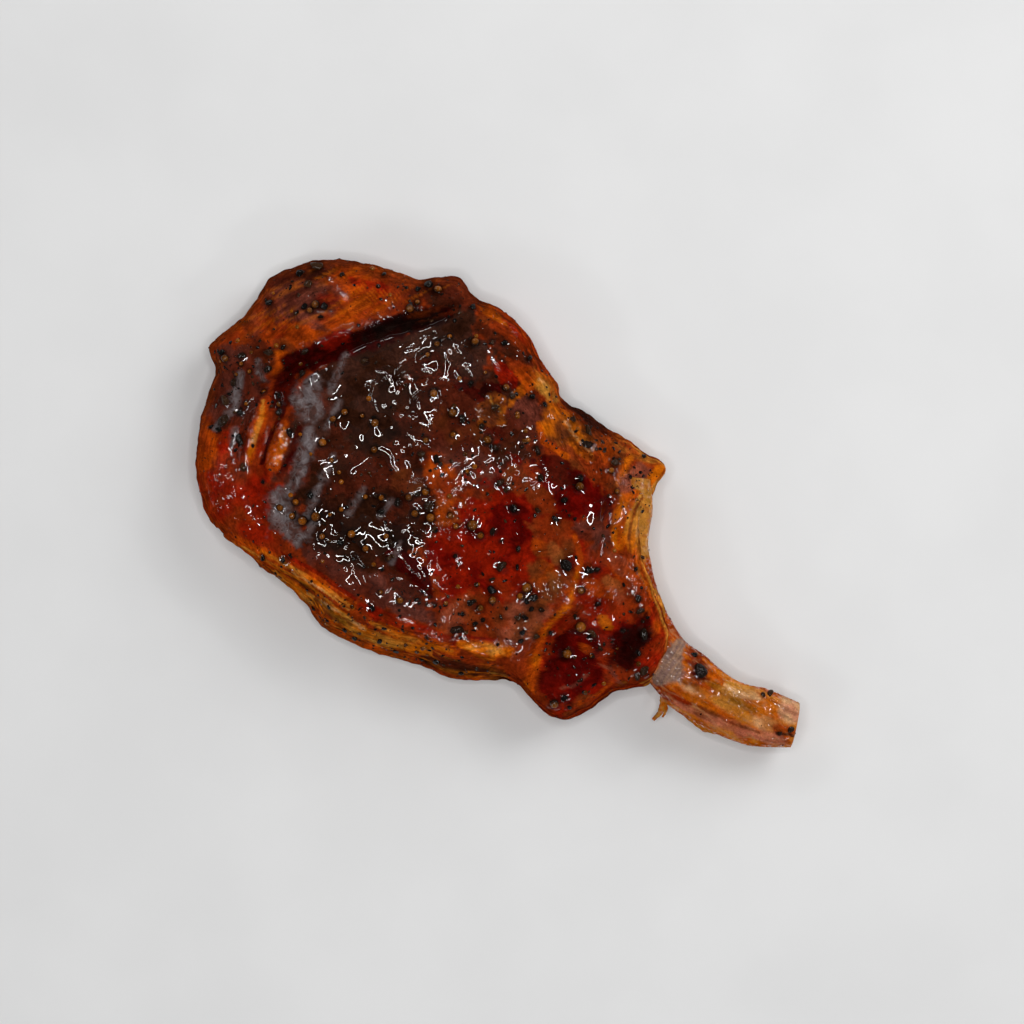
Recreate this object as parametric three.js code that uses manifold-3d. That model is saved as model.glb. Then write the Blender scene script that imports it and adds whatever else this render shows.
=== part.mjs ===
// A frenched pork rib chop, glazed and peppered, lying on its cut face.
// Millimetres. The origin is on the resting face under the middle of the loin eye, +X runs along the chop
// towards the tip of the rib, and +Z is up. Angles are in degrees round the origin, from +X towards +Y.
import * as THREE from "three";
import { mergeVertices } from "three/addons/utils/BufferGeometryUtils.js";
import Module from "manifold-3d";

const wasm = await Module();
wasm.setup();

// Driving dimensions
const EYE_HEIGHT = 26; // thickness of the chop at the middle of the eye
const CROWN_POWER = 3; // how late the top falls away towards its shoulder
const CORE_RADIUS = 58; // size of the rings of the top near its middle, before they take the outline's form
const CLEARANCE = 0.3; // gap between neighbouring pieces
const SECTORS = 120; // facets round the outline, a multiple of four
const WALL_RINGS = 10;
const RELIEF = 0.55; // height of the soft unevenness of the meat

// Outline of the meat as seen from above: [angle, distance from the origin]
const OUTLINE = [
  // the side along the rib, out to the tag of membrane at its inner end
  [1, 93.5], [4, 88.5], [8, 82], [12, 76.5], [17, 73], [24, 72], [31, 73.5], [36.5, 77], [39.5, 71.5],
  [43.5, 66.5],
  // the flank and the two corners of the cap muscle
  [50, 59.5], [57, 54.5], [63, 51], [70, 52.5], [78, 53], [88, 57], [98, 59.5], [108, 60.5], [113.5, 65.5],
  [119, 65], [125, 64.5], [133, 68.5], [141, 73.5], [148, 78], [156, 80.5], [161, 81.5], [167, 79],
  [174, 79], [179, 81], [181.5, 81.5], [185, 76.5],
  // the rounded end and the long fat edge
  [192, 75], [201, 74.3], [209, 73.8], [217, 72.5], [225, 69.5], [233, 64], [242, 59.5], [252, 56],
  [260, 55.8], [268, 57.8], [282, 57.8], [294, 58.2], [304, 61], [311, 65], [319, 67], [325, 69.5],
  // the tail muscle beside the rib
  [328, 73.5], [330, 83], [333, 88.5], [339, 90.5], [345, 91], [350, 96.5], [354, 98], [358, 96.5],
];

// How the meat ends at that outline: [angle, width of the shoulder, height where the shoulder starts,
// height of the widest point, how far the foot is tucked in, roundness of the shoulder]
const EDGE = [
  [10, 9, 22, 10, 2, 2.2],
  [28, 8, 20, 10, 2, 2.2],
  [37, 16, 17, 11, 6, 1.6],
  [50, 13, 19.5, 6, 1.5, 1.5],
  [66, 9, 22, 10, 3, 2],
  [95, 8, 23, 12, 3, 2.2],
  [114, 12, 21, 10, 2.5, 1.9],
  [150, 14, 19, 9, 2, 2],
  [181, 13, 18.5, 9, 2, 1.8],
  [205, 11, 21, 10, 3, 2.1],
  [232, 8, 21.5, 8, 2, 1.7],
  [262, 9, 22.5, 6.5, 1.5, 1.4],
  [300, 11.5, 22.5, 6, 1.5, 1.35],
  [322, 10, 21.5, 7, 2, 1.5],
  [334, 9, 19, 9, 3, 2.1],
  [350, 9, 20, 10, 3, 2.1],
];

// Seams and folds in the top: {path over the top, width, depth}
const GROOVES = [
  // between the eye and the cap muscle
  {
    path: [[-59, -4], [-55, 3], [-52, 13], [-45.5, 24], [-37, 36], [-28, 46], [-23, 52]],
    width: 4,
    depth: 4.2,
  },
  // down both sides of the fat ridge at the rounded end
  { path: [[-59, -4], [-58, -14], [-54, -26]], width: 2.2, depth: 1.6 },
  { path: [[-55, 3], [-51, -9], [-47, -22], [-43, -31]], width: 2.2, depth: 2 },
  // between the eye and the tail muscle
  { path: [[63, -40], [59.5, -30], [60, -20], [64, -11], [68, -2], [68, 6]], width: 2.4, depth: 2.6 },
  // between the eye and the membrane of the flank
  { path: [[16, 43], [26, 38], [36, 34], [47, 31], [54, 27], [58, 16], [60, 8]], width: 2.2, depth: 1.5 },
];

// Rises and, with a negative height, hollows: {middle, reach along and across, turn, height}
const MOUNDS = [
  { at: [-70, 30], reach: [14, 8], turn: 45, height: 1.2 },
  { at: [-46, 42], reach: [14, 6], turn: 30, height: 1.4 },
  { at: [-30, 57], reach: [8, 4], turn: 20, height: 1.2 },
  { at: [-56, -15], reach: [11, 2.2], turn: 108, height: 1.8 },
  { at: [-45, -17], reach: [8, 3.5], turn: 112, height: 1.2 },
  { at: [-30, 8], reach: [14, 10], turn: 60, height: -1.2 },
  { at: [7, 31], reach: [5.5, 4.5], turn: 30, height: 1.2 },
  { at: [20, 44], reach: [6, 4], turn: 130, height: 1.6 },
  { at: [2, 2], reach: [20, 13], turn: 20, height: 0.9 },
  { at: [36, 12], reach: [13, 16], turn: 0, height: -1 },
  { at: [30, -22], reach: [18, 8], turn: 15, height: 0.9 },
  { at: [68, -25], reach: [6.5, 6], turn: 0, height: -2.2 },
  { at: [74, -33], reach: [10, 4], turn: 30, height: 1.6 },
  { at: [83, -13], reach: [8, 7], turn: 0, height: -4.6 },
  { at: [75, -6], reach: [6, 4], turn: 120, height: 1.5 },
  { at: [88, -21], reach: [8, 3.5], turn: 25, height: 1.8 },
];

// Depth of the fat edge, measured inwards from the outline: [angle, depth]
const FAT_EDGE = [[226, 0.4], [236, 4], [248, 6], [262, 9], [285, 11.5], [303, 12.5], [317, 12], [326, 9]];
const FAT_STEPS = 40;
const FAT_SHELF = { height: 10.5, width: 2.4, depth: 1.3 }; // the crease along its side

// The rib: [x, y, height of its middle, half width, half height], from the chine to the sawn tip
const RIB = [
  [57, 38, 13, 3.8, 4.6],
  [61.5, 29, 13, 5.6, 5.4],
  [65.4, 19.2, 13, 6.1, 5.6],
  [72.6, 11.2, 12.6, 5.9, 5.6],
  [80.7, 4, 12.3, 6.2, 5.6],
  [88.7, -1.7, 12.2, 7.2, 5.7],
  [96.7, -6.2, 12, 8.8, 5.9],
  [106, -8, 11.6, 9.9, 5.9],
  [114, -8.7, 11, 9.3, 5.7],
  [122, -8.1, 10.2, 9.2, 5.4],
  [130, -5.9, 9.4, 9.5, 5.2],
  [137, -3.2, 8.8, 8.4, 5],
  [142, -1.2, 8.3, 7.2, 4.6],
];
const RIB_STEPS = 38;
const RIB_SIDES = 16;
const RIB_SQUARENESS = 2.6; // exponent of the section, above 2 for a flattened bone

// The shred of fat that hangs from the root of the bare rib, and how thick it is at its root and tip
const SHRED = {
  path: [[100.5, -14, 8.5], [103, -18, 7], [104, -21.5, 5], [103.6, -25, 3.4]],
  thick: [1.7, 0.5],
};
const SHRED_SIDES = 8;
const SHRED_STEPS = 8;

// Grains pressed into the glaze: [x, y, radius], and how flat they are
const PEPPER = [
  [52.8, 2.7, 2], [34.8, -33.7, 1.9], [-63.4, -18.5, 1.8], [-55.6, -20.5, 1.7], [59.2, 4.9, 1.7],
  [37.3, 38.1, 1.6], [6.2, -5.5, 1.6], [35.5, -9.1, 1.6], [37.3, -17, 1.5], [71.2, -11.1, 1.5],
  [-64.4, 32.2, 1.4], [-63.4, 7.1, 1.4], [-66.9, -13.1, 1.4], [25, 27.8, 1.4], [33.4, -23.9, 1.4],
  [49.3, -11.6, 1.4], [-56.5, 29.3, 1.3], [7, 32.2, 1.3], [20.6, 12.8, 1.3], [35, 41.8, 1.3],
  [29.1, 8.6, 1.3], [2.3, -21.9, 1.3], [-60.5, 3, 1.2], [-50.6, 7.6, 1.2], [-23.4, -45.1, 1.2],
  [-50.1, -6.7, 1.2], [14.4, 41.3, 1.2], [35.6, 12, 1.2], [0.1, 23.2, 1.2], [-4.4, 6.9, 1.2],
  [-2.9, -9.6, 1.2], [41.6, 12.8, 1.2], [53.7, -13.4, 1.2], [-71.8, 20.7, 1.1], [-70, 1.7, 1.1],
  [-43.7, -10.1, 1.1], [-67.4, -6.7, 1.1], [-50.1, -27.3, 1.1], [-27, -22.9, 1.1], [13.7, 21.4, 1.1],
  [0.1, 8.4, 1.1], [29.1, 42.1, 1.1], [-5.6, -15, 1.1], [41.4, 27.8, 1.1], [67.5, -2.6, 1.1],
  [90.7, -15.3, 1.1], [74.9, -33.3, 1.1], [-61.5, 25.8, 1], [-53.6, 14, 1], [-35.9, 21.9, 1],
  [-63.4, -21.7, 1], [-60.5, -13.6, 1], [-76.2, -0.8, 1], [6.3, 24.8, 1], [7, 50.7, 1], [-1.9, 50.4, 1],
  [30.6, 21.1, 1], [-3.9, 34.2, 1], [23.7, 12.3, 1], [27.2, -1.2, 1], [-11.2, -30.3, 1], [11.4, -10.6, 1],
  [4.5, -25.9, 1], [8.5, -42.6, 1], [61.6, 6.6, 1], [40.9, 19.4, 1], [48.3, -13.9, 1], [53.7, -25.4, 1],
  [63.6, -9.6, 1], [75.9, -14, 1], [-60.5, 11.3, 0.9], [-65.9, -22.4, 0.9], [-53.1, -2.2, 0.9],
  [9.4, 37.8, 0.9], [2.1, 7.6, 0.9], [37, -1.7, 0.9], [35.2, -14, 0.9], [38.5, -28.8, 0.9], [50.8, -15, 0.9],
  [48.7, -20, 0.9],
];
const MUSTARD = [
  [20.8, -3.2, 1.8], [67, -11.5, 1.8], [-21.9, -27.8, 1.7], [46.2, -10.3, 1.7], [-25, -31.1, 1.6],
  [68, -21.2, 1.6], [8.5, -8.4, 1.5], [42.5, 25.5, 1.5], [73.4, -36.7, 1.5], [-59, 28.3, 1.4],
  [-33.3, 43.6, 1.4], [-22.4, 7.4, 1.4], [-33.2, -7.2, 1.4], [-9.8, 45.8, 1.4], [-12.2, 25.3, 1.4],
  [-3.7, 23.2, 1.4], [10.4, 22.2, 1.4], [-9.5, -26.2, 1.4], [-74.3, -1.9, 1.3], [2.8, -2, 1.3],
  [3.8, -9.6, 1.3], [14.4, -35.7, 1.3], [60.9, -1.5, 1.3], [39, -19.5, 1.3], [-32.5, 4.7, 1.2],
  [-34.2, 0.9, 1.2], [-28.5, -31.8, 1.2], [-33.4, -31.8, 1.2], [-18.1, 0.2, 1.2], [6, 39.1, 1.2],
  [-0.6, -6.5, 1.2], [-3.6, -27.6, 1.2], [24.7, -4.2, 1.2], [45.9, -13.6, 1.2], [37, -23.7, 1.2],
  [-59.5, 25.8, 1.1], [-30, -27.5, 1.1], [-6.1, 11.6, 1.1], [-17.2, -31.8, 1.1], [-32.2, 46.3, 1],
  [-19.8, 38.8, 1], [-51.6, -4.4, 1], [0.3, 17.8, 1], [28.9, 8.8, 1], [13.2, -4.2, 1], [16.8, -6, 1],
  [-7.8, -11.4, 1], [-20.3, 34.4, 0.9],
];
const PEPPER_FLAT = 0.62;
const MUSTARD_FLAT = 0.9;
const GRAIN_SEED = 20;
const GRAIN_SINK = 0.35; // share of a grain's radius that its middle lies above the surface
// On the side of the fat edge, between two angles, two heights and two radii
const EDGE_PEPPER = { count: 9, from: 258, to: 318, low: 8, high: 17, radius: [0.9, 1.3] };
const RIB_PEPPER = [
  [106.6, -2.8, 2.1], [102.2, 0.2, 1], [128, 1.4, 0.9], [129.8, 2.9, 1.2], [141.3, -3, 1.1], [139, -5.8, 0.9],
];

const radians = THREE.MathUtils.degToRad;

// A repeatable stream of numbers from 0 to 1
function draws(seed) {
  let state = seed;
  return () => {
    state = (Math.imul(state, 1664525) + 1013904223) >>> 0;
    return state / 4294967296;
  };
}

// Cubic Hermite value between two rows, with slopes taken from the rows beside them
function hermite(before, from, to, after, position, column) {
  const span = to[0] - from[0];
  const t = (position - from[0]) / span;
  const startSlope = ((to[column] - before[column]) / (to[0] - before[0])) * span;
  const endSlope = ((after[column] - from[column]) / (after[0] - from[0])) * span;
  const t2 = t * t;
  const t3 = t2 * t;
  return (
    (2 * t3 - 3 * t2 + 1) * from[column] + (t3 - 2 * t2 + t) * startSlope +
    (3 * t2 - 2 * t3) * to[column] + (t3 - t2) * endSlope
  );
}

// A column of a table whose rows go once round the origin, read at an angle
function around(table, column, angle) {
  const row = (i) => {
    const turns = Math.floor(i / table.length);
    const found = table[i - turns * table.length];
    return found.map((v, k) => (k === 0 ? v + 360 * turns : v));
  };
  let a = THREE.MathUtils.euclideanModulo(angle, 360);
  if (a < table[0][0]) a += 360;
  let i = 0;
  while (row(i + 1)[0] <= a) i += 1;
  return hermite(row(i - 1), row(i), row(i + 1), row(i + 2), a, column);
}

// A column of a table that runs once from its first row to its last
function along(table, column, position) {
  let i = 0;
  while (i < table.length - 2 && table[i + 1][0] <= position) i += 1;
  const before = table[Math.max(i - 1, 0)];
  const after = table[Math.min(i + 2, table.length - 1)];
  return hermite(before, table[i], table[i + 1], after, position, column);
}

const reach = (angle) => around(OUTLINE, 1, angle);
const shoulder = (angle) => around(EDGE, 1, angle);
const bell = (d) => Math.exp(-d * d);

function distanceToPath(path, x, y) {
  let nearest = Infinity;
  for (let i = 0; i + 1 < path.length; i += 1) {
    const [ax, ay] = path[i];
    const [bx, by] = path[i + 1];
    const dx = bx - ax;
    const dy = by - ay;
    const t = THREE.MathUtils.clamp(((x - ax) * dx + (y - ay) * dy) / (dx * dx + dy * dy), 0, 1);
    nearest = Math.min(nearest, Math.hypot(x - ax - t * dx, y - ay - t * dy));
  }
  return nearest;
}

// Soft unevenness: a few crossing waves of different lengths
function unevenness(x, y) {
  return (
    Math.sin(x * 0.31 + 1.3 * Math.sin(y * 0.17)) * Math.sin(y * 0.37 + 0.8) +
    0.6 * Math.sin(x * 0.13 - y * 0.52 + 2) * Math.sin(x * 0.58 + y * 0.21)
  );
}

// Everything that seams, mounds and unevenness add to the smooth top
function relief(x, y) {
  let z = RELIEF * unevenness(x, y);
  for (const { path, width, depth } of GROOVES) {
    z -= depth * bell(distanceToPath(path, x, y) / width);
  }
  for (const { at, reach: size, turn, height } of MOUNDS) {
    const c = Math.cos(radians(turn));
    const s = Math.sin(radians(turn));
    const dx = x - at[0];
    const dy = y - at[1];
    z += height * bell(Math.hypot((dx * c + dy * s) / size[0], (dy * c - dx * s) / size[1]));
  }
  return z;
}

// A point of the top, where share is 0 at the origin and 1 where the shoulder starts
function topPoint(angle, share) {
  const radius = share * THREE.MathUtils.lerp(CORE_RADIUS, reach(angle) - shoulder(angle), share);
  const x = radius * Math.cos(radians(angle));
  const y = radius * Math.sin(radians(angle));
  const smooth = EYE_HEIGHT - (EYE_HEIGHT - around(EDGE, 2, angle)) * share ** CROWN_POWER;
  return new THREE.Vector3(x, y, smooth + relief(x, y));
}

// A point of the side, where share is 0 where the shoulder starts, 0.5 at the widest point and 1 at the foot
function sidePoint(angle, share) {
  const [width, high, widest, tuck, round] = [1, 2, 3, 4, 5].map((c) => around(EDGE, c, angle));
  const edge = reach(angle);
  let radius;
  let z;
  if (share <= 0.5) {
    const turn = share * Math.PI;
    radius = edge - width * (1 - Math.sin(turn) ** (2 / round));
    z = widest + (high - widest) * Math.cos(turn) ** (2 / round);
  } else {
    const turn = (share - 0.5) * Math.PI;
    radius = edge - tuck * (1 - Math.cos(turn));
    z = widest * (1 - Math.sin(turn));
  }
  const cos = Math.cos(radians(angle));
  const sin = Math.sin(radians(angle));
  z += relief(radius * cos, radius * sin) * Math.max(0, 1 - 2 * share);
  if (angle > FAT_EDGE[0][0] && angle < FAT_EDGE.at(-1)[0]) {
    radius -= FAT_SHELF.depth * bell((z - FAT_SHELF.height) / FAT_SHELF.width);
  }
  return new THREE.Vector3(radius * cos, radius * sin, Math.max(z, 0));
}

// The square grid's point (i, j) as an angle and a share of a round disc, with cells of even size
function discCell(i, j, cells) {
  const u = (2 * i) / cells - 1;
  const v = (2 * j) / cells - 1;
  const across = Math.max(Math.abs(u), Math.abs(v));
  if (across === 0) return [0, 0];
  let angle;
  if (Math.abs(u) >= Math.abs(v)) angle = (45 * v) / u + (u < 0 ? 180 : 0);
  else angle = 90 - (45 * u) / v + (v < 0 ? 180 : 0);
  return [THREE.MathUtils.euclideanModulo(angle, 360), across];
}

function solid(points, faces) {
  const geometry = new THREE.BufferGeometry().setFromPoints(points);
  geometry.setIndex(faces);
  return toManifold(geometry);
}

function toManifold(geometry) {
  const bare = geometry.clone();
  bare.deleteAttribute("normal");
  bare.deleteAttribute("uv");
  const merged = mergeVertices(bare, 1e-4);
  return new wasm.Manifold(
    new wasm.Mesh({
      numProp: 3,
      vertProperties: merged.attributes.position.array,
      triVerts: new Uint32Array(merged.index.array),
    }),
  );
}

function toGeometry(manifold) {
  const mesh = manifold.getMesh();
  const geometry = new THREE.BufferGeometry();
  geometry.setAttribute("position", new THREE.BufferAttribute(mesh.vertProperties, 3));
  geometry.setIndex(new THREE.BufferAttribute(mesh.triVerts, 1));
  geometry.computeVertexNormals();
  return geometry;
}

// The whole slab of meat and fat: an even grid over the top, rings down the side and a flat foot
function slab() {
  const cells = SECTORS / 4;
  const points = [];
  const faces = [];
  const grid = (i, j) => i * (cells + 1) + j;
  for (let i = 0; i <= cells; i += 1) {
    for (let j = 0; j <= cells; j += 1) {
      const [angle, share] = discCell(i, j, cells);
      points.push(topPoint(angle, share));
    }
  }
  for (let i = 0; i < cells; i += 1) {
    for (let j = 0; j < cells; j += 1) {
      const [a, b, c, d] = [grid(i, j), grid(i + 1, j), grid(i + 1, j + 1), grid(i, j + 1)];
      const acIsShorter = points[a].distanceTo(points[c]) < points[b].distanceTo(points[d]);
      faces.push(...(acIsShorter ? [a, b, c, a, c, d] : [a, b, d, b, c, d]));
    }
  }

  // The grid's border, counter-clockwise seen from above, with the angle of each point
  const border = [];
  for (let k = 0; k < cells; k += 1) border.push([k, 0]);
  for (let k = 0; k < cells; k += 1) border.push([cells, k]);
  for (let k = 0; k < cells; k += 1) border.push([cells - k, cells]);
  for (let k = 0; k < cells; k += 1) border.push([0, cells - k]);
  const angles = border.map(([i, j]) => discCell(i, j, cells)[0]);
  let upper = border.map(([i, j]) => grid(i, j));
  for (let ring = 1; ring <= WALL_RINGS; ring += 1) {
    const lower = angles.map((angle) => points.push(sidePoint(angle, ring / WALL_RINGS)) - 1);
    for (let k = 0; k < SECTORS; k += 1) {
      const next = (k + 1) % SECTORS;
      faces.push(upper[k], lower[k], lower[next], upper[k], lower[next], upper[next]);
    }
    upper = lower;
  }
  const foot = upper.map((index) => new THREE.Vector2(points[index].x, points[index].y));
  for (const [a, b, c] of THREE.ShapeUtils.triangulateShape(foot, [])) {
    faces.push(upper[a], upper[c], upper[b]);
  }
  return solid(points, faces);
}

// A band that holds the fat edge through the whole thickness, grown inwards by some clearance
function fatBand(clearance) {
  const [first, last] = [FAT_EDGE[0][0], FAT_EDGE.at(-1)[0]];
  const beyond = THREE.MathUtils.radToDeg(clearance / reach(last));
  const inner = [];
  const outer = [];
  for (let k = 0; k <= FAT_STEPS; k += 1) {
    const angle = THREE.MathUtils.lerp(first - beyond, last + beyond, k / FAT_STEPS);
    const clamped = THREE.MathUtils.clamp(angle, first, last);
    const place = (radius) => new THREE.Vector2(radius, 0).rotateAround(new THREE.Vector2(), radians(angle));
    inner.push(place(reach(angle) - along(FAT_EDGE, 1, clamped) - clearance));
    outer.push(place(reach(angle) + EYE_HEIGHT));
  }
  const shape = new THREE.Shape([...inner.reverse(), ...outer]);
  const band = new THREE.ExtrudeGeometry(shape, { depth: 2 * EYE_HEIGHT, bevelEnabled: false });
  band.translate(0, 0, -EYE_HEIGHT / 2);
  return toManifold(band);
}

// A closed tube of round-cornered section: stations hold a middle, a half width and a half height
function sweptTube(stations, steps, sides, squareness, grow) {
  const middle = new THREE.CatmullRomCurve3(stations.map(([x, y, z]) => new THREE.Vector3(x, y, z)));
  const up = new THREE.Vector3(0, 0, 1);
  const points = [];
  const faces = [];
  const sizeAt = (t, column) => {
    const place = t * (stations.length - 1);
    const k = Math.min(Math.floor(place), stations.length - 2);
    return THREE.MathUtils.lerp(stations[k][column], stations[k + 1][column], place - k) + grow;
  };
  const power = (v) => Math.sign(v) * Math.abs(v) ** (2 / squareness);
  for (let k = 0; k <= steps; k += 1) {
    const t = k / steps;
    const ahead = middle.getTangent(t);
    const centre = middle.getPoint(t).addScaledVector(ahead, k === 0 ? -grow : k === steps ? grow : 0);
    const side = up.clone().cross(ahead).normalize();
    const over = ahead.clone().cross(side);
    for (let n = 0; n < sides; n += 1) {
      const turn = (2 * Math.PI * n) / sides;
      const point = centre.clone().addScaledVector(side, sizeAt(t, 3) * power(Math.cos(turn)));
      points.push(point.addScaledVector(over, sizeAt(t, 4) * power(Math.sin(turn))));
    }
  }
  for (let k = 0; k < steps; k += 1) {
    for (let n = 0; n < sides; n += 1) {
      const [a, b] = [k * sides + n, k * sides + ((n + 1) % sides)];
      faces.push(a, b, b + sides, a, b + sides, a + sides);
    }
  }
  for (let n = 1; n < sides - 1; n += 1) {
    const end = steps * sides;
    faces.push(0, n + 1, n, end, end + n, end + n + 1);
  }
  return solid(points, faces);
}

// One lumpy grain: a flattened icosahedron, turned at random and half sunk where it is put
function grain(place, normal, radius, flat, random) {
  const shape = new THREE.IcosahedronGeometry(radius, 0);
  const stretch = new THREE.Vector3(1 + 0.35 * random(), 1 - 0.2 * random(), flat);
  const spin = new THREE.Quaternion().setFromAxisAngle(new THREE.Vector3(0, 0, 1), 2 * Math.PI * random());
  const tilt = new THREE.Quaternion().setFromUnitVectors(new THREE.Vector3(0, 0, 1), normal);
  shape.scale(stretch.x, stretch.y, stretch.z);
  shape.applyQuaternion(tilt.multiply(spin));
  const middle = place.clone().addScaledVector(normal, radius * flat * GRAIN_SINK);
  shape.translate(middle.x, middle.y, middle.z);
  return toManifold(shape);
}

// A grain where a ray from a point first meets a solid's surface
function grainOn(surface, from, direction, radius, flat, random) {
  const [hit] = new THREE.Raycaster(from, direction.normalize()).intersectObject(surface);
  return grain(hit.point, hit.face.normal, radius, flat, random);
}

const surfaceOf = (manifold) => new THREE.Mesh(toGeometry(manifold));
const down = () => new THREE.Vector3(0, 0, -1);

// Grains on a surface under the places of a table
function grainsUnder(surface, places, flat, random) {
  return places.map(([x, y, radius]) =>
    grainOn(surface, new THREE.Vector3(x, y, 2 * EYE_HEIGHT), down(), radius, flat, random),
  );
}

function grainsOnFatEdge(surface, random) {
  const grains = [];
  for (let k = 0; k < EDGE_PEPPER.count; k += 1) {
    const { from, to, low, high, radius } = EDGE_PEPPER;
    const angle = radians(THREE.MathUtils.lerp(from, to, (k + 0.6 * random()) / EDGE_PEPPER.count));
    const outwards = new THREE.Vector3(Math.cos(angle), Math.sin(angle), 0);
    const start = outwards.clone().multiplyScalar(2 * reach(0));
    start.z = THREE.MathUtils.lerp(low, high, random());
    const size = THREE.MathUtils.lerp(...radius, random());
    grains.push(grainOn(surface, start, outwards.negate(), size, PEPPER_FLAT, random));
  }
  return grains;
}

function shred() {
  const [root, tip] = SHRED.thick;
  const last = SHRED.path.length - 1;
  const stations = SHRED.path.map(([x, y, z], k) => {
    const thick = THREE.MathUtils.lerp(root, tip, k / last);
    return [x, y, z, thick, thick];
  });
  return sweptTube(stations, SHRED_STEPS, SHRED_SIDES, 2, 0);
}

const union = (first, others) => others.reduce((whole, next) => whole.add(next), first);

// The largest body of a cut, without the scraps that the cut leaves beside it
function largest(manifold) {
  return manifold.decompose().reduce((best, next) => (next.volume() > best.volume() ? next : best));
}

function makeMesh(name, manifold, colour, roughness) {
  const material = new THREE.MeshStandardMaterial({ color: colour, roughness, metalness: 0 });
  const mesh = new THREE.Mesh(toGeometry(manifold), material);
  mesh.name = name;
  return mesh;
}

const random = draws(GRAIN_SEED);
const body = slab();
const ribSocket = sweptTube(RIB, RIB_STEPS, RIB_SIDES, RIB_SQUARENESS, CLEARANCE);
const lean = largest(body.subtract(fatBand(CLEARANCE)).subtract(ribSocket));
const onMeat = surfaceOf(lean);
const meat = union(lean, [
  ...grainsUnder(onMeat, PEPPER, PEPPER_FLAT, random),
  ...grainsUnder(onMeat, MUSTARD, MUSTARD_FLAT, random),
]);
const bareFat = largest(body.intersect(fatBand(0)));
const fat = union(bareFat, grainsOnFatEdge(surfaceOf(bareFat), random));
const bareRib = sweptTube(RIB, RIB_STEPS, RIB_SIDES, RIB_SQUARENESS, 0);
const rib = union(bareRib, [shred(), ...grainsUnder(surfaceOf(bareRib), RIB_PEPPER, PEPPER_FLAT, random)]);

const chop = new THREE.Group();
chop.add(makeMesh("loin_meat", meat, 0x6e1d0c, 0.25));
chop.add(makeMesh("fat_edge", fat, 0xc06a1a, 0.3));
chop.add(makeMesh("rib_bone", rib, 0xb9834a, 0.4));

export default chop;
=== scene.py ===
"""The looks of a glazed, peppered pork rib chop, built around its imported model.

The tables are in millimetres and degrees in the model's own frame: the origin is on the resting face under
the middle of the loin eye, +X runs towards the tip of the rib and +Z is up. MM turns them into metres.
"""
import math
from itertools import product

import bmesh
import bpy
import numpy as np
from mathutils import Matrix, Vector
from mathutils.bvhtree import BVHTree


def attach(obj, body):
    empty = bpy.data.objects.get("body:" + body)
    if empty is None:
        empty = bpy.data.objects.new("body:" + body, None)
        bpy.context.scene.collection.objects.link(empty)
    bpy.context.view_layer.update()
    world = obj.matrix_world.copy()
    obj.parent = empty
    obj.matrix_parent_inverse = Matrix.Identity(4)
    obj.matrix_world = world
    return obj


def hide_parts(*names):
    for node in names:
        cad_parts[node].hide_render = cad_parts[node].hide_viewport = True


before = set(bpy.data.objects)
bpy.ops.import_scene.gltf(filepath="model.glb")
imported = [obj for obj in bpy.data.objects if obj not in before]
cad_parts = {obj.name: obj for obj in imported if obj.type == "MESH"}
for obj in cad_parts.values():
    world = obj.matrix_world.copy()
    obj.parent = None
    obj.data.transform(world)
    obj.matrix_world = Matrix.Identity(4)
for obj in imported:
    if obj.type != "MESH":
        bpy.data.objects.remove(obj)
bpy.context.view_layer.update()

MM = 0.001

# Driving dimensions of the slab of meat and fat, as in the model
EYE_HEIGHT = 26
CROWN_POWER = 3
CORE_RADIUS = 58
RELIEF = 0.55
TOP_CELLS = 226  # cells across the grid of the top
WALL_RINGS = 44
FOOT_RINGS = 4

# Outline of the meat as seen from above: (angle, distance from the origin)
OUTLINE = [
    # the side along the rib, out to the tag of membrane at its inner end
    (1, 93.5), (4, 88.5), (8, 82), (12, 76.5), (17, 73), (24, 72), (31, 73.5), (36.5, 77), (39.5, 71.5),
    (43.5, 66.5),
    # the flank and the two corners of the cap muscle
    (50, 59.5), (57, 54.5), (63, 51), (70, 52.5), (78, 53), (88, 57), (98, 59.5), (108, 60.5), (113.5, 65.5),
    (119, 65), (125, 64.5), (133, 68.5), (141, 73.5), (148, 78), (156, 80.5), (161, 81.5), (167, 79),
    (174, 79), (179, 81), (181.5, 81.5), (185, 76.5),
    # the rounded end and the long fat edge
    (192, 75), (201, 74.3), (209, 73.8), (217, 72.5), (225, 69.5), (233, 64), (242, 59.5), (252, 56),
    (260, 55.8), (268, 57.8), (282, 57.8), (294, 58.2), (304, 61), (311, 65), (319, 67), (325, 69.5),
    # the tail muscle beside the rib
    (328, 73.5), (330, 83), (333, 88.5), (339, 90.5), (345, 91), (350, 96.5), (354, 98), (358, 96.5),
]

# How the meat ends there: (angle, shoulder width, shoulder height, widest height, tuck, roundness)
EDGE = [
    (10, 9, 22, 10, 2, 2.2), (28, 8, 20, 10, 2, 2.2), (37, 16, 17, 11, 6, 1.6), (50, 13, 19.5, 6, 1.5, 1.5),
    (66, 9, 22, 10, 3, 2), (95, 8, 23, 12, 3, 2.2), (114, 12, 21, 10, 2.5, 1.9), (150, 14, 19, 9, 2, 2),
    (181, 13, 18.5, 9, 2, 1.8), (205, 11, 21, 10, 3, 2.1), (232, 8, 21.5, 8, 2, 1.7),
    (262, 9, 22.5, 6.5, 1.5, 1.4), (300, 11.5, 22.5, 6, 1.5, 1.35), (322, 10, 21.5, 7, 2, 1.5),
    (334, 9, 19, 9, 3, 2.1), (350, 9, 20, 10, 3, 2.1),
]

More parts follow.
